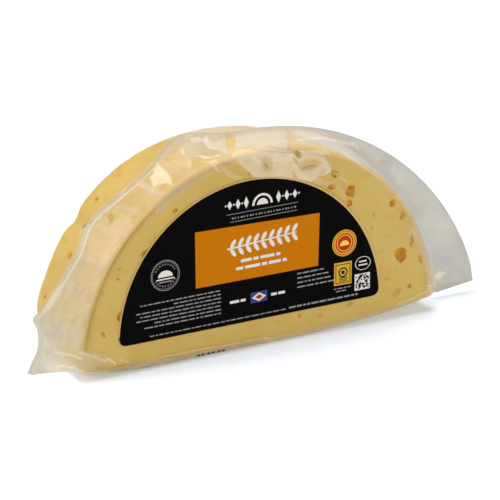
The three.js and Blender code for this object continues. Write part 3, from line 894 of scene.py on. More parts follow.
# ---- the cheese ----
def cheese_rings(outline):
    """Rings of the cheese's skin, from its front face over the rim to its rear face, and how much
    painted shade lies along the first of them."""
    inset = CHEESE_INSET
    shares = np.linspace(0.03, 1, FACE_RINGS + 1)[:-1]
    # painted shade along the front edge at the left
    edge_shading = EDGE_SHADE_MOST * smooth(outline.degrees, *EDGE_SHADE_BETWEEN)
    edge, depth = outline.side(inset, inset), outline.front_depth()
    rows = [outline.face(edge, share) for share in shares]
    dried = [edge_shading * smooth(share, 0.96, 0.99) for share in shares]
    for turn in np.linspace(0, QUARTER, 6):
        rows.append(outline.side(np.maximum(depth * (1 - math.cos(turn)), inset), inset))
        dried.append(edge_shading * (1 - turn / QUARTER))
    for back in np.linspace(TUCK_DEPTH, THICKNESS - REAR_ROUND, 22)[1:]:
        rows.append(outline.side(back, inset))
    for turn in np.linspace(QUARTER, 0, 7)[1:]:
        back = THICKNESS - REAR_ROUND * (1 - math.cos(turn))
        rows.append(outline.side(min(back, THICKNESS - inset), inset))
    edge = outline.side(THICKNESS - inset, inset)
    rows += [outline.face(edge, share) for share in shares[::-1]]
    return rows, dried


def hollowed(points):
    """The cheese's points, sunk in softly here and there and less along its base."""
    inward = np.array([0, 0, MIDDLE_HEIGHT]) - points
    inward /= np.linalg.norm(inward, axis=1)[:, None]
    sunk = sum(depth * smooth(wave(points, size, seed), *levels) for seed, size, depth, levels in HOLLOWS)
    at_base = np.isclose(points[:, 2], points[:, 2].min(), atol=0.5)
    return points + inward * (sunk * np.where(at_base, 0.3, 1))[:, None]


class CHEESE_OT_body(bpy.types.Operator):
    """Makes the half wheel of cheese"""

    bl_idname = "cheese_pack.body"
    bl_label = "Cheese"

    def execute(self, context):
        outline = Outline(rim_facet=1.6, end_facet=1.2, base_facet=2.5)
        rows, dried = cheese_rings(outline)
        points, faces = capped_grid(rows)
        # painted shade along the front edge at the left, none on the rest of the skin
        dried = np.concatenate([*dried, np.zeros(len(points) - len(dried) * outline.count)])
        material = cheese_material(context.scene.cheese_colours)
        piece = add_piece("cheese", hollowed(points), faces, material, {"dried": dried})
        hand_over(piece, "film_pack")
        return {"FINISHED"}


def chunk_outline(draw, width, height, turn):
    """Outline of one diced piece: a few corners, cut a little unevenly, with its edges softened."""
    corners = draw.choice((4, 4, 5, 6))
    start = draw.uniform(0, 2 * math.pi)
    angles = [start + 2 * math.pi * (i + draw.uniform(-0.16, 0.16)) / corners for i in range(corners)]
    radii = [draw.uniform(0.8, 1.15) for _ in range(corners)]
    tips = np.array([(math.cos(a) * r, math.sin(a) * r) for a, r in zip(angles, radii)])
    ring = np.concatenate([
        mix(tips[i], tips[(i + 1) % corners], np.arange(6)[:, None] / 6) for i in range(corners)
    ])
    for _ in range(2):
        ring = (np.roll(ring, 1, 0) + 2 * ring + np.roll(ring, -1, 0)) / 4
    ring *= (width / 2, height / 2)
    c, s = math.cos(math.radians(turn)), math.sin(math.radians(turn))
    return ring @ np.array([(c, s), (-s, c)])


class Strewn:
    """Pieces of one kind of fruit, each laid on the cheese's surface."""

    def __init__(self, cheese, seed):
        self.tree = BVHTree.FromObject(cheese, bpy.context.evaluated_depsgraph_get())
        self.draw = random.Random(seed)
        self.points, self.faces, self.cover = [], [], []

    def lay(self, place, right, up, width, height, turn, buried):
        """Adds one piece at a place in millimetres, in the plane of two directions."""
        ring = chunk_outline(self.draw, width, height, turn)
        count = len(ring)
        first = sum(len(part) for part in self.points)
        flat = np.concatenate([ring * size for size, _, _ in PIECE_RINGS] + [np.zeros((2, 2))])
        lifts = np.repeat([lift for _, lift, _ in PIECE_RINGS], count).tolist() + [-PIECE_DEPTH, PIECE_TOP]
        placed = []
        for (u, v), lift in zip(flat, lifts):
            aimed = Vector(np.asarray(place) + u * np.asarray(right) + v * np.asarray(up)) * MM
            found, normal, _, _ = self.tree.find_nearest(aimed)
            if found is None:
                raise RuntimeError(f"no cheese under the piece at {place}")
            placed.append(np.array(found / MM) + np.array(normal) * lift)
        self.points.append(np.array(placed))
        covers = [max(cover, buried) for _, _, cover in PIECE_RINGS]
        self.cover += np.repeat(covers, count).tolist() + [1.0, buried]
        self.faces += [tuple(first + i for i in face) for face in capped_faces(len(PIECE_RINGS), count)]

    def on_face(self, y, x, z, *shape):
        self.lay((x, y, z), (1, 0, 0), (0, 0, 1), *shape)

    def on_rim(self, degrees, y, *shape):
        a = math.radians(degrees)
        radius = WHEEL_RADIUS - float(rear_dip(np.array([float(degrees)]), y)[0])
        place = (radius * math.cos(a), y, CENTRE_HEIGHT + radius * math.sin(a))
        self.lay(place, (-math.sin(a), 0, math.cos(a)), (0, 1, 0), *shape)

    def strew_the_rest(self, count, small, large):
        """Lays more pieces at random: half of them on the rear face, a quarter on the right half
        of the rim and a quarter on the cut side."""
        draw = self.draw
        for _ in range(count):
            width = draw.uniform(small, large)
            turn = draw.uniform(0, 180)
            buried = draw.choice((0.1, 0.2, 0.5))
            shape = (width, width * draw.uniform(0.6, 1.3), turn, buried)
            where = draw.random()
            if where < 0.5:
                at = math.radians(draw.uniform(8, 172))
                radius = 100 * math.sqrt(draw.uniform(0.02, 1))
                height = CENTRE_HEIGHT + 6 + radius * 0.97 * math.sin(at)
                self.on_face(REAR, radius * math.cos(at), height, *shape)
            elif where < 0.75:
                self.on_rim(draw.uniform(8, 96), draw.uniform(-2, 22), *shape)
            else:
                place = (draw.uniform(-95, 95), draw.uniform(-18, 20), 0)
                self.lay(place, (1, 0, 0), (0, 1, 0), *shape)

    def piece(self, name, material):
        return add_piece(name, np.concatenate(self.points), self.faces, material, {"cover": self.cover})


class CHEESE_OT_fruit(bpy.types.Operator):
    """Lays the pieces of mango and ginger in the cheese's surface"""

    bl_idname = "cheese_pack.fruit"
    bl_label = "Mango and ginger"

    def execute(self, context):
        colours = context.scene.cheese_colours
        cheese = bpy.data.objects["cheese"]
        kinds = [
            ("dried_mango", MANGO_SEED, FRONT_MANGO, RIM_MANGO, REST_MANGO, (3.0, 9.0),
             linear(colours.mango), linear("8f5c00"), "Dried mango, diced"),
            ("stem_ginger", GINGER_SEED, FRONT_GINGER, RIM_GINGER, REST_GINGER, (1.6, 3.6),
             linear(colours.ginger), linear("85690c"), "Crystallised ginger, diced"),
        ]
        for name, seed, on_front, on_rim, more, sizes, flesh, dark, made in kinds:
            strewn = Strewn(cheese, seed)
            for values in on_front:
                strewn.on_face(FRONT, *values)
            for values in on_rim:
                strewn.on_rim(*values)
            strewn.strew_the_rest(more, *sizes)
            piece = strewn.piece(name, fruit_material(made, colours, flesh, dark))
            hand_over(piece, "film_pack")
        return {"FINISHED"}


# ---- the film ----
def web_pleats(outline, share, count):
    """Height of the folds that cross the web, for one row of it, from 0 at its edge to 1 outside."""
    draw = random.Random(PLEAT_SEED)
    height = np.zeros(outline.count)
    for _ in range(count):
        at, width = draw.uniform(0, 180), draw.uniform(0.25, 1.3)
        skew, size = draw.uniform(-4, 4), draw.choice((-1, 1, 1)) * draw.uniform(0.15, 0.8)
        start, end = draw.uniform(-0.5, 0.4), draw.uniform(0.6, 1.5)
        if start < share < end:
            across = np.abs(outline.degrees - at - skew * share) / width
            height += size * np.maximum(0, 1 - across) * math.sin(math.pi * (share - start) / (end - start))
    return height


def distance_to_run(points, start, end):
    """Distance of points from a straight run between two places."""
    run = end - start
    share = np.clip(((points - start) @ run) / (run @ run + 1e-9), 0, 1)
    return np.linalg.norm(points - start - share[:, None] * run, axis=1)


def depth_inside(points, corners):
    """How far points lie inside a polygon, in its own unit; below 0 outside it."""
    corners = np.asarray(corners, float)
    nearest = np.full(len(points), np.inf)
    inside = np.zeros(len(points), bool)
    for start, end in zip(corners, np.roll(corners, -1, 0)):
        nearest = np.minimum(nearest, distance_to_run(points, start, end))
        above = (start[1] > points[:, 1]) != (end[1] > points[:, 1])
        rise = end[1] - start[1]
        cut = start[0] + (points[:, 1] - start[1]) * (end[0] - start[0]) / (rise if rise else 1)
        inside ^= above & (points[:, 0] < cut)
    return np.where(inside, nearest, -nearest)


def depth_of_line(points, line, width):
    """How far points lie inside a line of some width."""
    line = np.asarray(line, float)
    distances = [distance_to_run(points, start, end) for start, end in zip(line[:-1], line[1:])]
    return width / 2 - np.min(distances, axis=0)


NOWHERE = 1e4  # plan of the points that no fold or pocket reaches
MEAN_CRUMPLE = 0.35  # what crumple gives on average


class FilmSkin:
    """The film bag as rows of points: front face, web, sealed strip, rear web, rim, rear face.
    Its front sheet also has a plan: where each point lies when the sheet is spread flat."""

    FACE_ROWS = 58
    WEB_ROWS = 20
    STRIP_ROWS = 9
    REAR_WEB_ROWS = 9
    RIM_ROWS = 16
    REAR_ROWS = 26

    def __init__(self, sizes):
        self.outline = Outline(rim_facet=0.75, end_facet=0.7, base_facet=1.6)
        self.crumple = sizes.crumple / MM
        self.pleats = sizes.pleats
        self.rows, self.values, self.plans, self.outward, self.loose = [], [], [], [], []
        degrees = self.outline.degrees
        share = (degrees - ROOT_FROM) / (ROOT_TO - ROOT_FROM)
        self.on_rim = (share >= 0) & (share <= 1)
        share = np.clip(share, 0, 1)
        self.outer = mix(BORDER_FROM, BORDER_TO, share)
        self.crease = mix(CREASE_FROM, CREASE_TO, share)
        self.reach = border_reach(self.outer)
        self.strip = strip_width(self.outer)
        self.setback = border_setback(self.outer)
        self.landing = self.setback + REAR_WEB
        self.ends = self.on_rim & ((degrees < 14) | (degrees > 170))
        # shares by degrees: how slack the film is, how much painted light from the cheese it takes, how much
        # lighter its milk is painted, and which stretch of the rim each point belongs to
        self.slack = 0.12 + 0.5 * smooth(degrees, 60, 105)
        self.lit_through = smooth(degrees, 96, 116) - 0.6 * smooth(degrees, 160, 168)
        self.airy = 0.15 + 0.85 * smooth(degrees, 45, 100) - 0.5 * smooth(degrees, 166, 176)
        self.left = smooth(degrees, 104, 120)
        self.low_left = smooth(degrees, 158, 166)
        self.top_left = self.stretch(94, 104, 122, 134)
        # the stretch at the top left where painted shade lies
        self.shade_stretch = self.stretch(98, 106, 128, 142)
        self.crown = self.stretch(72, 80, 100, 106)

    def stretch(self, start, full, fading, end):
        """Share from 0 to 1 and back along a stretch of the rim, by degrees."""
        degrees = self.outline.degrees
        return smooth(degrees, start, full) * (1 - smooth(degrees, fading, end))

    def add(self, points, plan=None, outward=(0, 0, 0), loose=False, **values):
        """Adds a row of points and those of its FILM_VALUES that aren't 0. A row of the front
        sheet also has its plan, and the directions that its folds rise in."""
        count = self.outline.count
        self.rows.append(points)
        self.loose.append(np.broadcast_to(loose, (count,)))
        columns = [np.broadcast_to(np.asarray(values.get(key, 0), float), (count,)) for key in FILM_VALUES]
        self.values.append(np.stack(columns, 1))
        self.plans.append(np.full((count, 2), NOWHERE) if plan is None else plan)
        self.outward.append(np.broadcast_to(outward, (count, 3)))

    def spread_out(self, distance):
        """Plan of a row that lies some way outside the front face's edge."""
        distance = np.broadcast_to(distance, (self.outline.count,))
        return self.edge_plan + self.outline.normals * distance[:, None]

    def polar(self, radius, degrees, back):
        turn = np.radians(degrees)
        y = np.broadcast_to(FRONT + back, turn.shape)
        return np.stack([radius * np.cos(turn), y, CENTRE_HEIGHT + radius * np.sin(turn)], 1)

    def side_or(self, back, fin_points):
        """The fin's points along the rim, and the tight side's points elsewhere."""
        return np.where(self.on_rim[:, None], fin_points, self.outline.side(back))

    def radius_of(self, points):
        return np.hypot(points[:, 0], points[:, 2] - CENTRE_HEIGHT)

    def pushed_out(self, points, least):
        """Points moved away from the wheel's axis to at least a given radius."""
        stretch = np.maximum(1, least / self.radius_of(points))
        middle = np.array([0, 0, CENTRE_HEIGHT])
        return middle + (points - middle) * np.stack([stretch, np.ones_like(stretch), stretch], 1)

    def add_face(self, at_rear):
        """A flat face; the rings of the front one lie closer together towards its edge."""
        edge = self.outline.side(THICKNESS if at_rear else 0.0)
        outward = (0, 1 if at_rear else -1, 0)
        shares = np.linspace(0.02, 1, self.FACE_ROWS) ** 0.75
        if at_rear:
            shares = np.linspace(0.02, 1, self.REAR_ROWS)[::-1]
        for share in shares:
            points = self.outline.face(edge, share)
            out = 0.10 * (1 + wave(points, size=20, seed=3)) + 0.05 * crumple(points, size=7, seed=4)
            near_edge = smooth(share, 0.93, 1) * self.on_rim
            haze = 0.006 + near_edge * (0.15 - 0.13 * self.left + 0.3 * self.crown)
            plan = None if at_rear else np.stack([points[:, 0], points[:, 2] - CENTRE_HEIGHT], 1)
            # painted light: the milk lighter by degrees round the rim, and warm with the cheese behind
            self.add(points + np.outer(out, outward), plan, outward, haze=haze, air=self.airy, glow=1)

    def add_front_round(self):
        """The front edge, up to where the film leaves the cheese."""
        self.edge_plan = self.plans[-1]
        depth, down = self.outline.front_depth(), self.outline.down
        last = math.acos(1 - WEB_START_BACK / FRONT_ROUND)
        right = 1 - smooth(self.outline.degrees, 55, 80)
        for turn in np.linspace(0, last, 4)[1:]:
            share = turn / last
            back = depth * (1 - math.cos(turn))
            tight = 0.18 + 0.17 * right + (0.2 + 0.2 * right) * share
            haze = mix(tight, 0.04 + 0.4 * share**2, self.left)
            haze = np.where(self.on_rim, haze, 0.05 + 0.25 * down**4) + 0.4 * self.crown
            # painted light: the milk lighter by degrees, warm with the cheese behind except at the crown
            self.add(
                self.outline.side(back), self.spread_out(turn * FRONT_ROUND), (0, -1, 0),
                haze=haze, air=self.airy, glow=1 - 0.5 * self.crown,
            )
        self.web_from, self.web_back, self.web_spread = self.rows[-1], back, last * FRONT_ROUND

    def add_web(self):
        """The loose film from the front edge out to the crease of the sealed strip."""
        crease = self.polar(self.reach - self.strip, self.crease, self.setback - CREASE_FORWARD)
        across = crease - self.web_from
        turn = np.radians(self.crease)
        normals = np.stack([np.cos(turn), 0 * turn, np.sin(turn)], 1)
        run_out, run_back = (across * normals).sum(1), across[:, 1]
        length = np.hypot(run_out, run_back) + 1e-6
        normals *= (run_back / length)[:, None]
        normals[:, 1] = -run_out / length
        self.web_length = length
        along = self.outline.degrees * math.radians(WHEEL_RADIUS)
        for share in np.linspace(0, 1, self.WEB_ROWS)[1:-1]:
            out = share * length
            points = self.web_from + across * share - normals * (WEB_SAG * 4 * share * (1 - share))
            rough = (crumple(points, size=12, seed=6) - MEAN_CRUMPLE) * math.sin(math.pi * share) ** 0.5
            height = (web_pleats(self.outline, share, self.pleats) + rough) * self.crumple * self.slack
            points = points + normals * height[:, None]
            tight = self.radius_of(self.outline.side(np.maximum(points[:, 1] - FRONT, 0)))
            points = self.pushed_out(points, tight + 0.1)
            strokes = np.stack([along / 2.6, out, 0 * along], 1)
            thin = smooth(wave(strokes, size=3.4, seed=12), -0.05, 0.4)
            grey = smooth(wave(strokes, size=3.0, seed=13), -0.05, 0.4)
            beside = 1 - smooth(out, 0, 5)
            haze = 0.74 - (0.24 - 0.14 * self.left) * beside + 0.15 * (1 - self.airy)
            haze = haze - 0.32 * self.shade_stretch - 0.1 * thin * self.left
            # painted light from the cheese behind, weaker further out
            lit = 1 - 0.25 * share - 0.25 * self.left * beside
            # painted shade in grey strokes, most over the top left
            shade = self.shade_stretch * (0.22 + 0.4 * grey) + 0.25 * grey * self.left * (1 - self.shade_stretch)
            # the milk is painted lighter near the cheese and by degrees round the rim
            self.add(
                self.side_or(mix(self.web_back, self.setback, share), points),
                self.spread_out(self.web_spread + out), normals, self.ends,
                haze=np.where(self.on_rim, haze, 0.03), shade=shade * self.on_rim,
                air=mix(1, self.airy, smooth(out, 0, 6)) * self.on_rim,
                glow=mix(1 - smooth(out, 0, 5.5), lit, self.lit_through),
            )

    def strip_points(self, share, offset, behind):
        """One row of the sealed strip, from 0 at its crease to 1 at its cut edge."""
        angle = mix(self.crease, self.outer, share)
        points = self.polar(self.reach - self.strip * (1 - share), angle, self.setback + offset)
        ripple = (crumple(points, size=11, seed=7) - MEAN_CRUMPLE) * self.crumple * self.slack
        points[:, 1] += ripple * min(1, 0.25 + share)
        return self.side_or(mix(self.setback, self.landing, behind) + 0.3 * share, points)

    def strip_look(self, share):
        """What one row of the sealed strip tells the film's material."""
        haze = mix(0.72, 0.28 + 0.4 * (2 * share - 1) ** 4, self.top_left)
        # painted light: the milk lighter by degrees and at the low left, warm with the cheese's light
        air = np.maximum(self.airy * 0.85, self.low_left)
        return {"haze": np.where(self.on_rim, haze, 0.03), "air": air, "glow": 0.45 * self.lit_through}

    def add_strip(self):
        """The sealed strip: out along its front sheet, then back along its rear one."""
        creased = self.stretch(118, 123, 160, 166)
        shares = np.linspace(0, 1, self.STRIP_ROWS)
        for share in shares:
            points = self.strip_points(share, -SHEET_GAP / 2 - CREASE_FORWARD * (1 - share) ** 2, 0.15)
            plan = self.spread_out(self.web_spread + self.web_length + share * self.strip)
            # white along the crease at the left, partly whitened plastic and partly painted highlight
            fold = 0.7 * (1 - smooth(share, 0, 0.25)) * creased
            self.add(points, plan, (0, -1, 0), self.ends, fold=fold, **self.strip_look(share))
        for share in shares[::-1]:
            points = self.strip_points(share, SHEET_GAP / 2, 0.3)
            self.add(points, loose=self.ends, **self.strip_look(share))

    def add_rear_web(self):
        """The loose film behind the sealed strip, back down to the rim."""
        start, landing = self.rows[-1], self.outline.side(self.landing)
        normals = self.outline.normals
        normals = np.stack([normals[:, 0], 0 * normals[:, 0], normals[:, 1]], 1)
        for share in np.linspace(0, 1, self.REAR_WEB_ROWS)[1:]:
            points = mix(start, landing, share)
            dip = 0.6 * WEB_SAG * 4 * share * (1 - share)
            rough = crumple(points, size=8, seed=8) - MEAN_CRUMPLE
            height = rough * self.crumple * math.sin(math.pi * share)
            points = points + normals * (height - dip)[:, None]
            haze = (0.45 - 0.33 * share) * (1 - 0.5 * self.top_left)
            # the milk painted lighter by degrees round the rim
            self.add(
                self.side_or(mix(self.setback + 2.5, self.landing, share), points),
                loose=self.ends, haze=np.where(self.on_rim, haze, 0.03), air=self.airy,
            )

    def add_rim(self):
        """The film that lies tight on the rim and round the rear edge."""
        outline = self.outline
        clouded = self.stretch(74, 88, 99, 107)
        # the milk on the rim and round the rear edge is painted at its lightest
        for share in np.linspace(0, 1, self.RIM_ROWS)[1:]:
            points = outline.side(mix(self.landing, THICKNESS - REAR_ROUND, share))
            fading = (1 - share) ** 1.5
            pleats = np.maximum(0, web_pleats(outline, 0.3 + 0.3 * share, self.pleats))
            height = (0.05 + 0.5 * fading * pleats) * self.on_rim
            points[:, 0] += outline.normals[:, 0] * height
            points[:, 2] += outline.normals[:, 1] * height
            self.add(points, haze=0.03 + 0.06 * fading + 0.72 * clouded, air=1.0)
        for turn in np.linspace(QUARTER, 0, 6)[1:-1]:
            self.add(outline.side(THICKNESS - REAR_ROUND * (1 - math.cos(turn))), haze=0.03, air=1.0)

    def lay_patches(self, points, values, plan, outward):
        """Folds, pockets where the film stands off, painted glare, highlights, light and shade, at their own
        places in the front sheet.
        """
        def lay_look(weight, *look):
            for column, value in enumerate(look):
                values[:, column] = mix(values[:, column], value, weight)

        # a line of white along a crease, partly painted highlight, and its lift
        def lay_fold(line, width, soft, white, lift):
            weight = smooth(depth_of_line(plan, line, width), -soft, soft)
            values[:, 1] = np.maximum(values[:, 1], white * weight)
            points[:] = points + outward * (lift * weight)[:, None]

        # veils: milkiness, white of folds and painted highlights, the milk painted at its lightest, painted
        # light from the cheese, painted shade
        for corners, haze, white, glow_from_cheese, shade in VEILS_AND_PAINTED_LIGHT:
            weight = smooth(depth_inside(plan, corners), -VEIL_SOFT, VEIL_SOFT)
            lay_look(weight, haze, white, 1, glow_from_cheese, shade)
        # pockets: milkiness, white of folds and painted glare, the milk painted at its lightest, painted
        # light from the cheese
        for corners, haze, white, lift, glow_from_cheese in AIR_POCKETS_AND_GLARE:
            inside = depth_inside(plan, corners)
            lay_look(smooth(inside, -POCKET_SOFT, POCKET_SOFT), haze, white, 1, glow_from_cheese, 0)
            points += outward * (lift * smooth(inside, 0, POCKET_SLOPE))[:, None]
        for corners, missing in THIN_GLARE:
            values[:, 1] *= 1 - missing * smooth(depth_inside(plan, corners), *GLARE_SOFT)
        # creases with painted highlights, painted glints and painted lines of light
        for line, width, white, lift in CREASES_AND_HIGHLIGHTS:
            lay_fold(line, width, FOLD_SOFT, white, lift)
        draw = random.Random(GATHERS["seed"])
        for _ in range(GATHERS["count"]):
            x = draw.uniform(GATHERS["from"], GATHERS["to"])
            width = draw.uniform(0.3, 0.9)
            # painted highlight along the pleat
            white = draw.uniform(0.1, 0.4)
            line = [(x, GATHERS["top"]), (x + draw.uniform(-1, 1), GATHERS["foot"])]
            lay_fold(line, width, GATHER_SOFT, white, GATHERS["lift"])

    def pieces(self, material):
        """Two pieces: the film on the cheese, and the loose border beside it."""
        self.add_face(at_rear=False)
        self.add_front_round()
        self.add_web()
        self.add_strip()
        self.add_rear_web()
        self.add_rim()
        self.add_face(at_rear=True)
        points, faces = capped_grid(self.rows)
        values = np.concatenate([*self.values, [(0.02, 0, 0, 0, 0)] * 2])  # its two middle points
        plan = np.concatenate([*self.plans, [(NOWHERE, NOWHERE)] * 2])
        outward = np.concatenate([*self.outward, np.zeros((2, 3))])
        self.lay_patches(points, values, plan, outward)
        loose = np.concatenate([*self.loose, [False, False]])
        for name, kept in (("film_bag", False), ("film_border", True)):
            own = [face for face in faces if bool(loose[list(face)].all()) == kept]
            used = np.unique(np.concatenate([np.array(face) for face in own]))
            place = np.full(len(points), -1)
            place[used] = np.arange(len(used))
            named = dict(zip(FILM_VALUES, values[used].T))
            own = [tuple(int(place[i]) for i in face) for face in own]
            yield add_piece(name, points[used], own, material, named)


class CHEESE_OT_film(bpy.types.Operator):
    """Makes the clear film bag, with its sealed border and its creases"""

    bl_idname = "cheese_pack.film"
    bl_label = "Vacuum film"

    def execute(self, context):
        skin = FilmSkin(context.scene.film_sizes)
        film, border = skin.pieces(film_material())
        film.visible_shadow = False  # so thin a film passes on the light that it scatters
        for piece in (film, border):
            hand_over(piece, "film_pack")
        return {"FINISHED"}


class CHEESE_OT_dots(bpy.types.Operator):
    """Prints a row of plain dots on the film under the front edge"""

    bl_idname = "cheese_pack.dots"
    bl_label = "Printed dots"

    def execute(self, context):
        tree = BVHTree.FromObject(bpy.data.objects["film_bag"], context.evaluated_depsgraph_get())
        points, faces = [], []
        turns = np.radians(np.arange(0, 360, 45))
        for i in range(2 * DOT_PAIRS["count"]):
            at = DOT_PAIRS["from"] + DOT_PAIRS["pitch"] * (i // 2) + DOT_PAIRS["apart"] * (i % 2)
            faces.append(tuple(range(len(points), len(points) + len(turns))))
            for turn in turns:
                x = at + math.cos(turn) * DOT_PAIRS["width"] / 2
                z = DOTS_ABOVE + math.sin(turn) * DOT_PAIRS["height"] / 2
                found, normal, _, _ = tree.find_nearest(Vector((x, FRONT + DOTS_BEHIND, z)) * MM)
                outward = -normal if normal.y + normal.z > 0 else normal
                points.append(np.array(found / MM) + np.array(outward) * INK_STEP * 3)
        ink = print_material("Inkjet coding ink, black", linear("2a2622"))
        hand_over(add_piece("printed_dots", points, faces, ink), "film_pack")
        return {"FINISHED"}


# ---- the label ----
def label_face(x, z):
    """Y of the label's printed face at places in the label's millimetres: it follows the film."""
    points = np.stack([x, np.zeros_like(x), z], 1)
    ripple = sum(height * wave(points, size, seed) for seed, size, height in LABEL_RIPPLES)
    return FRONT - LABEL_LIFT - LABEL_THICK - ripple


def on_label(flat, layer):
    """Points of a flat print shape, set on the label in a layer of ink."""
    flat = np.asarray(flat, float)
    y = label_face(flat[:, 0], flat[:, 1]) - layer * INK_STEP
    return np.stack([flat[:, 0] + LABEL_CENTRE_X, y, flat[:, 1] + LABEL_BASE], 1)


def half_moon():
    """Outline of the label, a half moon with rounded lower corners."""
    lift = math.asin(LABEL_CORNER / LABEL_RADIUS)
    turns = np.linspace(lift, math.pi - lift, 150)
    arc = np.stack([np.cos(turns), np.sin(turns)], 1) * LABEL_RADIUS
    end = LABEL_RADIUS - LABEL_CORNER
    right = quadratic((end, 0), (LABEL_RADIUS, 0), arc[0], 0.8)
    left = quadratic(arc[-1], (-LABEL_RADIUS, 0), (-end, 0), 0.8)
    base = np.stack([np.linspace(-end, end, 70)[:-1], np.zeros(69)], 1)
    return np.concatenate([arc, left[1:], base, right])


def label_sheet():
    """Points and faces of the label: its printed face, its edge and its rear."""
    ring = half_moon()
    middle = np.array([0, LABEL_RADIUS * 0.45])
    rows = [on_label(mix(middle, ring, share), 0) for share in (*np.linspace(0.04, 0.985, 22), 1.0)]
    rows[-1][:, 1] += LABEL_EDGE_DROP
    rear = on_label(ring, 0) + (0, LABEL_THICK, 0)
    return capped_grid([*rows, rear, rows[0] + (0, LABEL_THICK, 0)])


def label_margin():
    """Points and faces of the unprinted edge of the label's film, wider at the arc's right end."""
    turns = np.radians(np.linspace(3, 176, 130))
    arc = np.stack([np.cos(turns), np.sin(turns)], 1)
    width = MARGIN_LEFT + (MARGIN_RIGHT - MARGIN_LEFT) * np.maximum(0, np.cos(turns)) ** 0.8
    settled = LABEL_LIFT + LABEL_THICK - MARGIN_SINKS
    section = [
        (-0.4, 0.0), (0.1, 0.0), (0.6, 0.15), (1.0, settled), (1.0, settled + 0.3), (1.0, settled + 0.9),
        (1.0, settled + 1.5), (-0.4, 0.1),
    ]
    rows = []
    for share, depth in section:
        rows.append(on_label(arc * (LABEL_RADIUS + width * share)[:, None], -1) + (0, depth, 0))
    count, last = len(turns), (len(rows) - 1) * len(turns)
    faces = [face[::-1] for face in grid_faces(len(rows), count, closed=False)]
    faces += [tuple(range(0, last + 1, count)), tuple(range(last + count - 1, 0, -count))]
    faces += [(c, c + 1, last + c + 1, last + c) for c in range(count - 1)]
    return np.concatenate(rows), faces


class CHEESE_OT_label(bpy.types.Operator):
    """Makes the half-moon label, without its print"""

    bl_idname = "cheese_pack.label"
    bl_label = "Label"

    def execute(self, context):
        ground = linear(context.scene.label_colours.ground)
        black = print_material("PP label film, printed black and varnished", ground)
        hand_over(add_piece("printed_label", *label_sheet(), black), "label")
        clear = print_material("PP label film, unprinted edge", linear("c8a768"))
        hand_over(add_piece("label_margin", *label_margin(), clear), "label")
        return {"FINISHED"}


class InkShapes:
    """Flat shapes of one ink, joined into one piece."""

    STEP = 2.5  # facet length, so that large shapes follow the label's ripples

    def __init__(self, layer):
        self.layer = layer
        self.points, self.faces = [], []

    def add_grid(self, rows, raised=0):
        """Adds a grid of points, some layers above this ink's own one."""
        first = sum(len(part) for part in self.points)
        faces = grid_faces(len(rows), len(rows[0]), closed=False)
        self.points += [on_label(row, self.layer + raised) for row in rows]
        self.faces += [tuple(first + i for i in face)[::-1] for face in faces]

    def patch(self, corners, raised=0):
        """Four-sided field, its corners given anticlockwise from the lower left."""
        a, b, c, d = (np.array(corner, float) for corner in corners)
        across = max(2, int(np.linalg.norm(b - a) / self.STEP) + 1)
        upward = max(2, int(np.linalg.norm(d - a) / self.STEP) + 1)
        shares = np.linspace(0, 1, across)[:, None]
        self.add_grid([mix(mix(a, d, v), mix(b, c, v), shares) for v in np.linspace(0, 1, upward)], raised)

    def bar(self, x, z, width, height):
        self.patch([(x, z), (x + width, z), (x + width, z + height), (x, z + height)])

    def lozenge(self, x, z, half_width, half_height, raised=0):
        """Lozenge about a middle."""
        sides = [(x, z - half_height), (x + half_width, z), (x, z + half_height), (x - half_width, z)]
        self.patch(sides, raised)

    def ring(self, x, z, outer, inner, sides=48, squash=1.0, sweep=(0, 360), turn=0):
        """Ring, disc or arc about a middle. Squash is its height over its width; turn is its tilt."""
        turns = np.radians(np.linspace(*sweep, sides + 1))
        shape = np.stack([np.cos(turns), np.sin(turns) * squash], 1)
        c, s = math.cos(math.radians(turn)), math.sin(math.radians(turn))
        shape = shape @ np.array([(c, s), (-s, c)])
        steps = max(2, int((outer - inner) / self.STEP) + 2)
        self.add_grid([shape * radius + (x, z) for radius in np.linspace(outer, max(inner, 0.001), steps)])

    def piece(self, name, material):
        return add_piece(name, np.concatenate(self.points), self.faces, material)


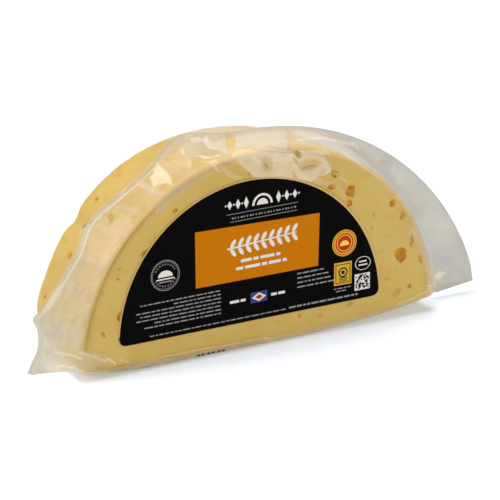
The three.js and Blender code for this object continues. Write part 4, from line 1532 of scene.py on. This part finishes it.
class LabelPrint:
    """The print on the label, with each ink's shapes: plain fields, bars, seals and a sprig."""

    def __init__(self):
        self.draw = random.Random(PRINT_SEED)
        self.orange, self.grey = InkShapes(1), InkShapes(1)
        self.gold, self.blue = InkShapes(1), InkShapes(1)
        self.cream, self.red = InkShapes(2), InkShapes(2)
        self.dark, self.seal = InkShapes(3), InkShapes(3)
        self.heading()
        self.panel()
        self.round_badge()
        self.small_lines()
        self.lozenge_patch()
        self.round_seal()
        self.square_mark()
        self.oval_and_blocks()

    def small_print(self, left, right, height, tall):
        """One line of small print, as a row of short rules."""
        while left < right - 1:
            width = min(self.draw.uniform(1.3, 5.2), right - left)
            self.grey.bar(left, height, width, tall)
            left += width + 0.75

    def words(self, left, height, widths, tall, gap):
        """A row of bars."""
        for width in widths:
            self.cream.bar(left, height, width, tall)
            left += width + gap

    def heading(self):
        """A half wheel between lozenges and dots, over two rules and a dotted line."""
        middle, foot, height = 7.2, 65.0, 67.6
        self.cream.ring(middle, foot, 6.2, 4.9, sides=30, sweep=HALF_TURN)
        self.cream.ring(middle, foot, 3.4, 0, sides=20, sweep=HALF_TURN)
        for side in (-1, 1):
            for i in range(3):
                x = middle + side * (9.8 + 5.0 * i)
                self.cream.lozenge(x, height, 1.5, 3.4 - 0.5 * i)
                self.cream.ring(x + side * 2.5, height, 0.5, 0, sides=12)
        self.grey.bar(-14.6, 62.3, 43.6, 0.3)
        self.grey.bar(-12.6, 57.9, 41.0, 0.3)
        for i in range(22):
            self.grey.bar(-11.4 + 1.8 * i, 59.6, 0.7 if i % 3 else 1.2, 0.9)

    def panel(self):
        """The large panel, with a leafy sprig over two rows of bars."""
        self.orange.patch([(-33.6, 24.6), (41.2, 23.9), (42.2, 54.0), (-33.6, 56.2)])
        self.cream.patch([(-14.5, 42.6), (28.0, 45.4), (28.0, 46.1), (-14.5, 43.6)])
        for i in range(9):
            x, z = -12.2 + 4.7 * i, 43.2 + 0.32 * i
            for lean in (-58, 58):
                a = math.radians(lean)
                tip_x, tip_z = x + 2.6 * math.cos(a), z + 3.0 * math.sin(a)
                self.cream.ring(tip_x, tip_z, 2.7, 0, sides=22, squash=0.42, turn=lean)
        self.words(-6.2, 34.4, (6.5, 3.2, 8.6, 2.4), 1.7, 1.1)
        self.words(-9.2, 30.4, (4.4, 9.2, 3.0, 7.4, 2.6), 1.7, 1.1)

    def round_badge(self):
        """Thin rings and dots round a half wheel on two rules."""
        x, z = -51.6, 35.4
        self.grey.ring(x, z, 8.6, 8.2)
        self.grey.ring(x, z, 7.7, 7.5)
        for start in (28, 208):
            for i in range(9):
                a = math.radians(start + 15.5 * i)
                self.grey.ring(x + 6.2 * math.cos(a), z + 6.2 * math.sin(a), 0.42, 0, sides=8)
        self.cream.ring(x, 34.6, 4.4, 0, sides=30, sweep=HALF_TURN, squash=0.8)
        self.cream.bar(-57.0, 33.0, 10.8, 0.7)
        self.grey.bar(-55.4, 31.4, 7.6, 0.7)

    def small_lines(self):
        """Lines of small print on the left, on the right and along the lower edge."""
        self.small_print(-66.9, -18.4, 20.4, 0.66)
        for i, left in enumerate((-47.0, -69.4, -67.0, -69.2, -58.6, -64.6)):
            self.small_print(left, -18.6, 20.4 - 2.15 * (i + 1), 0.66)
        for i, width in enumerate((16.5, 20.0, 21.5, 23.0)):
            self.small_print(28.2, 28.2 + width, 21.2 - 2.6 * i, 0.75)
        self.small_print(-61.5, 22, 2.4, 0.6)
        self.small_print(23, 66, 2.5, 1.0)
        self.small_print(50.8, 61.5, 8.0, 0.6)
        self.small_print(52.4, 60.0, 6.4, 0.6)

    def lozenge_patch(self):
        """A blue patch with two lozenges on it, between short bars."""
        x, z = 4.5, 12.9
        self.blue.bar(x - 5.1, z - 3.0, 10.2, 6.0)
        self.cream.lozenge(x, z, 4.4, 2.5)
        self.red.lozenge(x, z, 2.5, 1.4, raised=1)
        self.words(-13.2, 12.0, (5.6, 3.0), 1.5, 0.9)
        self.words(12.0, 12.0, (3.4, 4.2), 1.5, 0.9)

    def round_seal(self):
        """A red disc with a half wheel on it, inside rings."""
        x, z = 57.6, 34.0
        self.gold.ring(x, z, 7.6, 0, sides=60)
        self.red.ring(x, z, 5.6, 0, sides=40)
        self.red.ring(x, z, 6.9, 6.5, sides=60)
        self.seal.ring(x, z, 4.7, 4.3, sides=40)
        self.seal.ring(x, z - 1.4, 2.9, 0, sides=24, sweep=HALF_TURN)

    def square_mark(self):
        """A gold field with a thin frame round a ring, a dot and rules."""
        self.gold.patch([(51.0, 10.2), (62.0, 10.0), (62.2, 23.0), (51.2, 23.2)])
        left, foot, line = 52.0, 11.1, 0.45
        for height in (foot, 21.6):
            self.dark.bar(left, height, 9.2, line)
        for x in (left, 60.8):
            self.dark.bar(x, foot, line, 10.9)
        self.dark.ring(56.7, 17.2, 2.9, 2.1, sides=24)
        self.dark.ring(56.7, 17.2, 1.1, 0, sides=14)
        for i in range(3):
            self.dark.bar(54.0, 12.2 + 0.9 * i, 5.4, 0.4)

    def oval_and_blocks(self):
        """A plain oval round two rules, and a square of blocks set at random."""
        self.cream.ring(69.2, 20.3, 4.9, 4.5, sides=44, squash=0.8)
        self.cream.bar(66.8, 21.0, 4.8, 0.8)
        self.cream.bar(66.4, 19.0, 5.6, 0.8)
        self.cream.patch([(64.0, 5.0), (73.6, 5.0), (73.6, 14.4), (64.0, 14.4)])
        for row in range(10):
            for column in range(10):
                if self.draw.random() < 0.48:
                    x, z = 64.6 + CODE_BLOCK * column, 5.5 + CODE_BLOCK * row
                    self.dark.bar(x, z, CODE_BLOCK, CODE_BLOCK)


class CHEESE_OT_print(bpy.types.Operator):
    """Prints the label with plain fields, bars and badges"""

    bl_idname = "cheese_pack.print"
    bl_label = "Label print"

    def execute(self, context):
        done = LabelPrint()
        inks = [
            ("print_panel", done.orange, context.scene.label_colours.panel, "Orange"),
            ("print_cream", done.cream, "d9d2c6", "Cream"),
            ("print_grey", done.grey, "8b8883", "Grey"),
            ("print_gold", done.gold, "cfa034", "Gold-yellow"),
            ("print_red", done.red, "b3340a", "Red"),
            ("print_blue", done.blue, "3c3f7a", "Blue"),
            ("print_dark", done.dark, "232022", "Black"),
            ("print_seal", done.seal, "e9c35c", "Pale gold"),
        ]
        for name, shapes, colour, tone in inks:
            material = print_material(f"{tone} flexo ink, varnished", linear(colour))
            hand_over(shapes.piece(name, material), "label")
        return {"FINISHED"}


# ---- the stage ----
def add_panel(name, place, target, width, height, watts):
    """Adds a soft box: a lamp with a glowing face of that size, turned to a target."""
    lamp = bpy.data.lights.new(name, "AREA")
    lamp.shape, lamp.size, lamp.size_y, lamp.energy = "RECTANGLE", width, height, watts
    thing = bpy.data.objects.new(name, lamp)
    thing.location = place
    thing.rotation_euler = (Vector(target) - Vector(place)).to_track_quat("-Z", "Y").to_euler()
    bpy.context.scene.collection.objects.link(thing)


def add_floor():
    """Adds the light table's top, a round sheet just under the pack."""
    turns = np.linspace(0, 2 * math.pi, FLOOR_SIDES + 1)[:-1]
    circle = np.stack([np.cos(turns), np.sin(turns), 0 * turns], 1)
    points = np.concatenate([*(circle * radius for radius in FLOOR_RINGS), [(0, 0, 0)]])
    points[:, 2] = -FLOOR_DROP
    faces = grid_faces(len(FLOOR_RINGS), FLOOR_SIDES)
    faces += [(len(points) - 1, i, (i + 1) % FLOOR_SIDES) for i in range(FLOOR_SIDES)]
    floor = add_piece("floor", points / MM, faces, table_material())


def add_camera():
    """Adds the camera, from its turn round the pack, its height, its roll and its distance."""
    a, e = CAMERA_AZIMUTH, CAMERA_ELEVATION
    back = Vector((math.sin(a) * math.cos(e), -math.cos(a) * math.cos(e), math.sin(e)))
    right = (-back).cross(Vector((0, 0, 1))).normalized()
    up = right.cross(-back)
    c, s = math.cos(CAMERA_ROLL), math.sin(CAMERA_ROLL)
    right, up = right * c + up * s, up * c - right * s
    turn = Matrix((right, up, back)).transposed().to_4x4()
    camera = bpy.data.objects.new("camera", bpy.data.cameras.new("camera"))
    camera.data.lens, camera.data.sensor_width = CAMERA_LENS, 36.0
    camera.data.clip_start, camera.data.clip_end = 0.05, 50.0
    camera.matrix_world = Matrix.Translation(CAMERA_TARGET + back * CAMERA_DISTANCE) @ turn
    bpy.context.scene.collection.objects.link(camera)
    bpy.context.scene.camera = camera


class CHEESE_OT_stage(bpy.types.Operator):
    """Makes the pale floor, the soft studio light and the camera"""

    bl_idname = "cheese_pack.stage"
    bl_label = "Stage"

    def execute(self, context):
        add_floor()
        for box in SOFT_BOXES:
            add_panel(*box)
        world = bpy.data.worlds.new("Studio")
        world.use_nodes = True
        light = world.node_tree.nodes["Background"].inputs
        light["Color"].default_value, light["Strength"].default_value = linear("ffffff"), ROOM_LIGHT
        context.scene.world = world
        context.scene.view_settings.view_transform = "Standard"
        add_camera()
        return {"FINISHED"}


class CHEESE_PT_panel(bpy.types.Panel):
    """Lists the steps that make the pack"""

    bl_label = "Cheese pack"
    bl_idname = "CHEESE_PT_panel"
    bl_space_type = "VIEW_3D"
    bl_region_type = "UI"
    bl_category = "Cheese pack"

    def draw(self, context):
        for group in (context.scene.cheese_colours, context.scene.film_sizes, context.scene.label_colours):
            for key in group.bl_rna.properties.keys():
                if key not in ("rna_type", "name"):
                    self.layout.prop(group, key)
        for step in STEPS:
            self.layout.operator(step.bl_idname)


GROUPS = {"cheese_colours": CheeseColours, "film_sizes": FilmSizes, "label_colours": LabelColours}
STEPS = (
    CHEESE_OT_body, CHEESE_OT_fruit, CHEESE_OT_film, CHEESE_OT_dots, CHEESE_OT_label, CHEESE_OT_print,
    CHEESE_OT_stage,
)
CLASSES = (*GROUPS.values(), *STEPS, CHEESE_PT_panel)


def register():
    for kind in CLASSES:
        bpy.utils.register_class(kind)
    for key, group in GROUPS.items():
        setattr(bpy.types.Scene, key, PointerProperty(type=group))


def unregister():
    for key in GROUPS:
        delattr(bpy.types.Scene, key)
    for kind in reversed(CLASSES):
        bpy.utils.unregister_class(kind)


def main():
    register()
    bpy.ops.cheese_pack.body()
    bpy.ops.cheese_pack.fruit()
    bpy.ops.cheese_pack.film()
    bpy.ops.cheese_pack.dots()
    bpy.ops.cheese_pack.label()
    bpy.ops.cheese_pack.print()
    bpy.ops.cheese_pack.stage()
    bpy.context.view_layer.update()


if __name__ == "__main__":
    main()
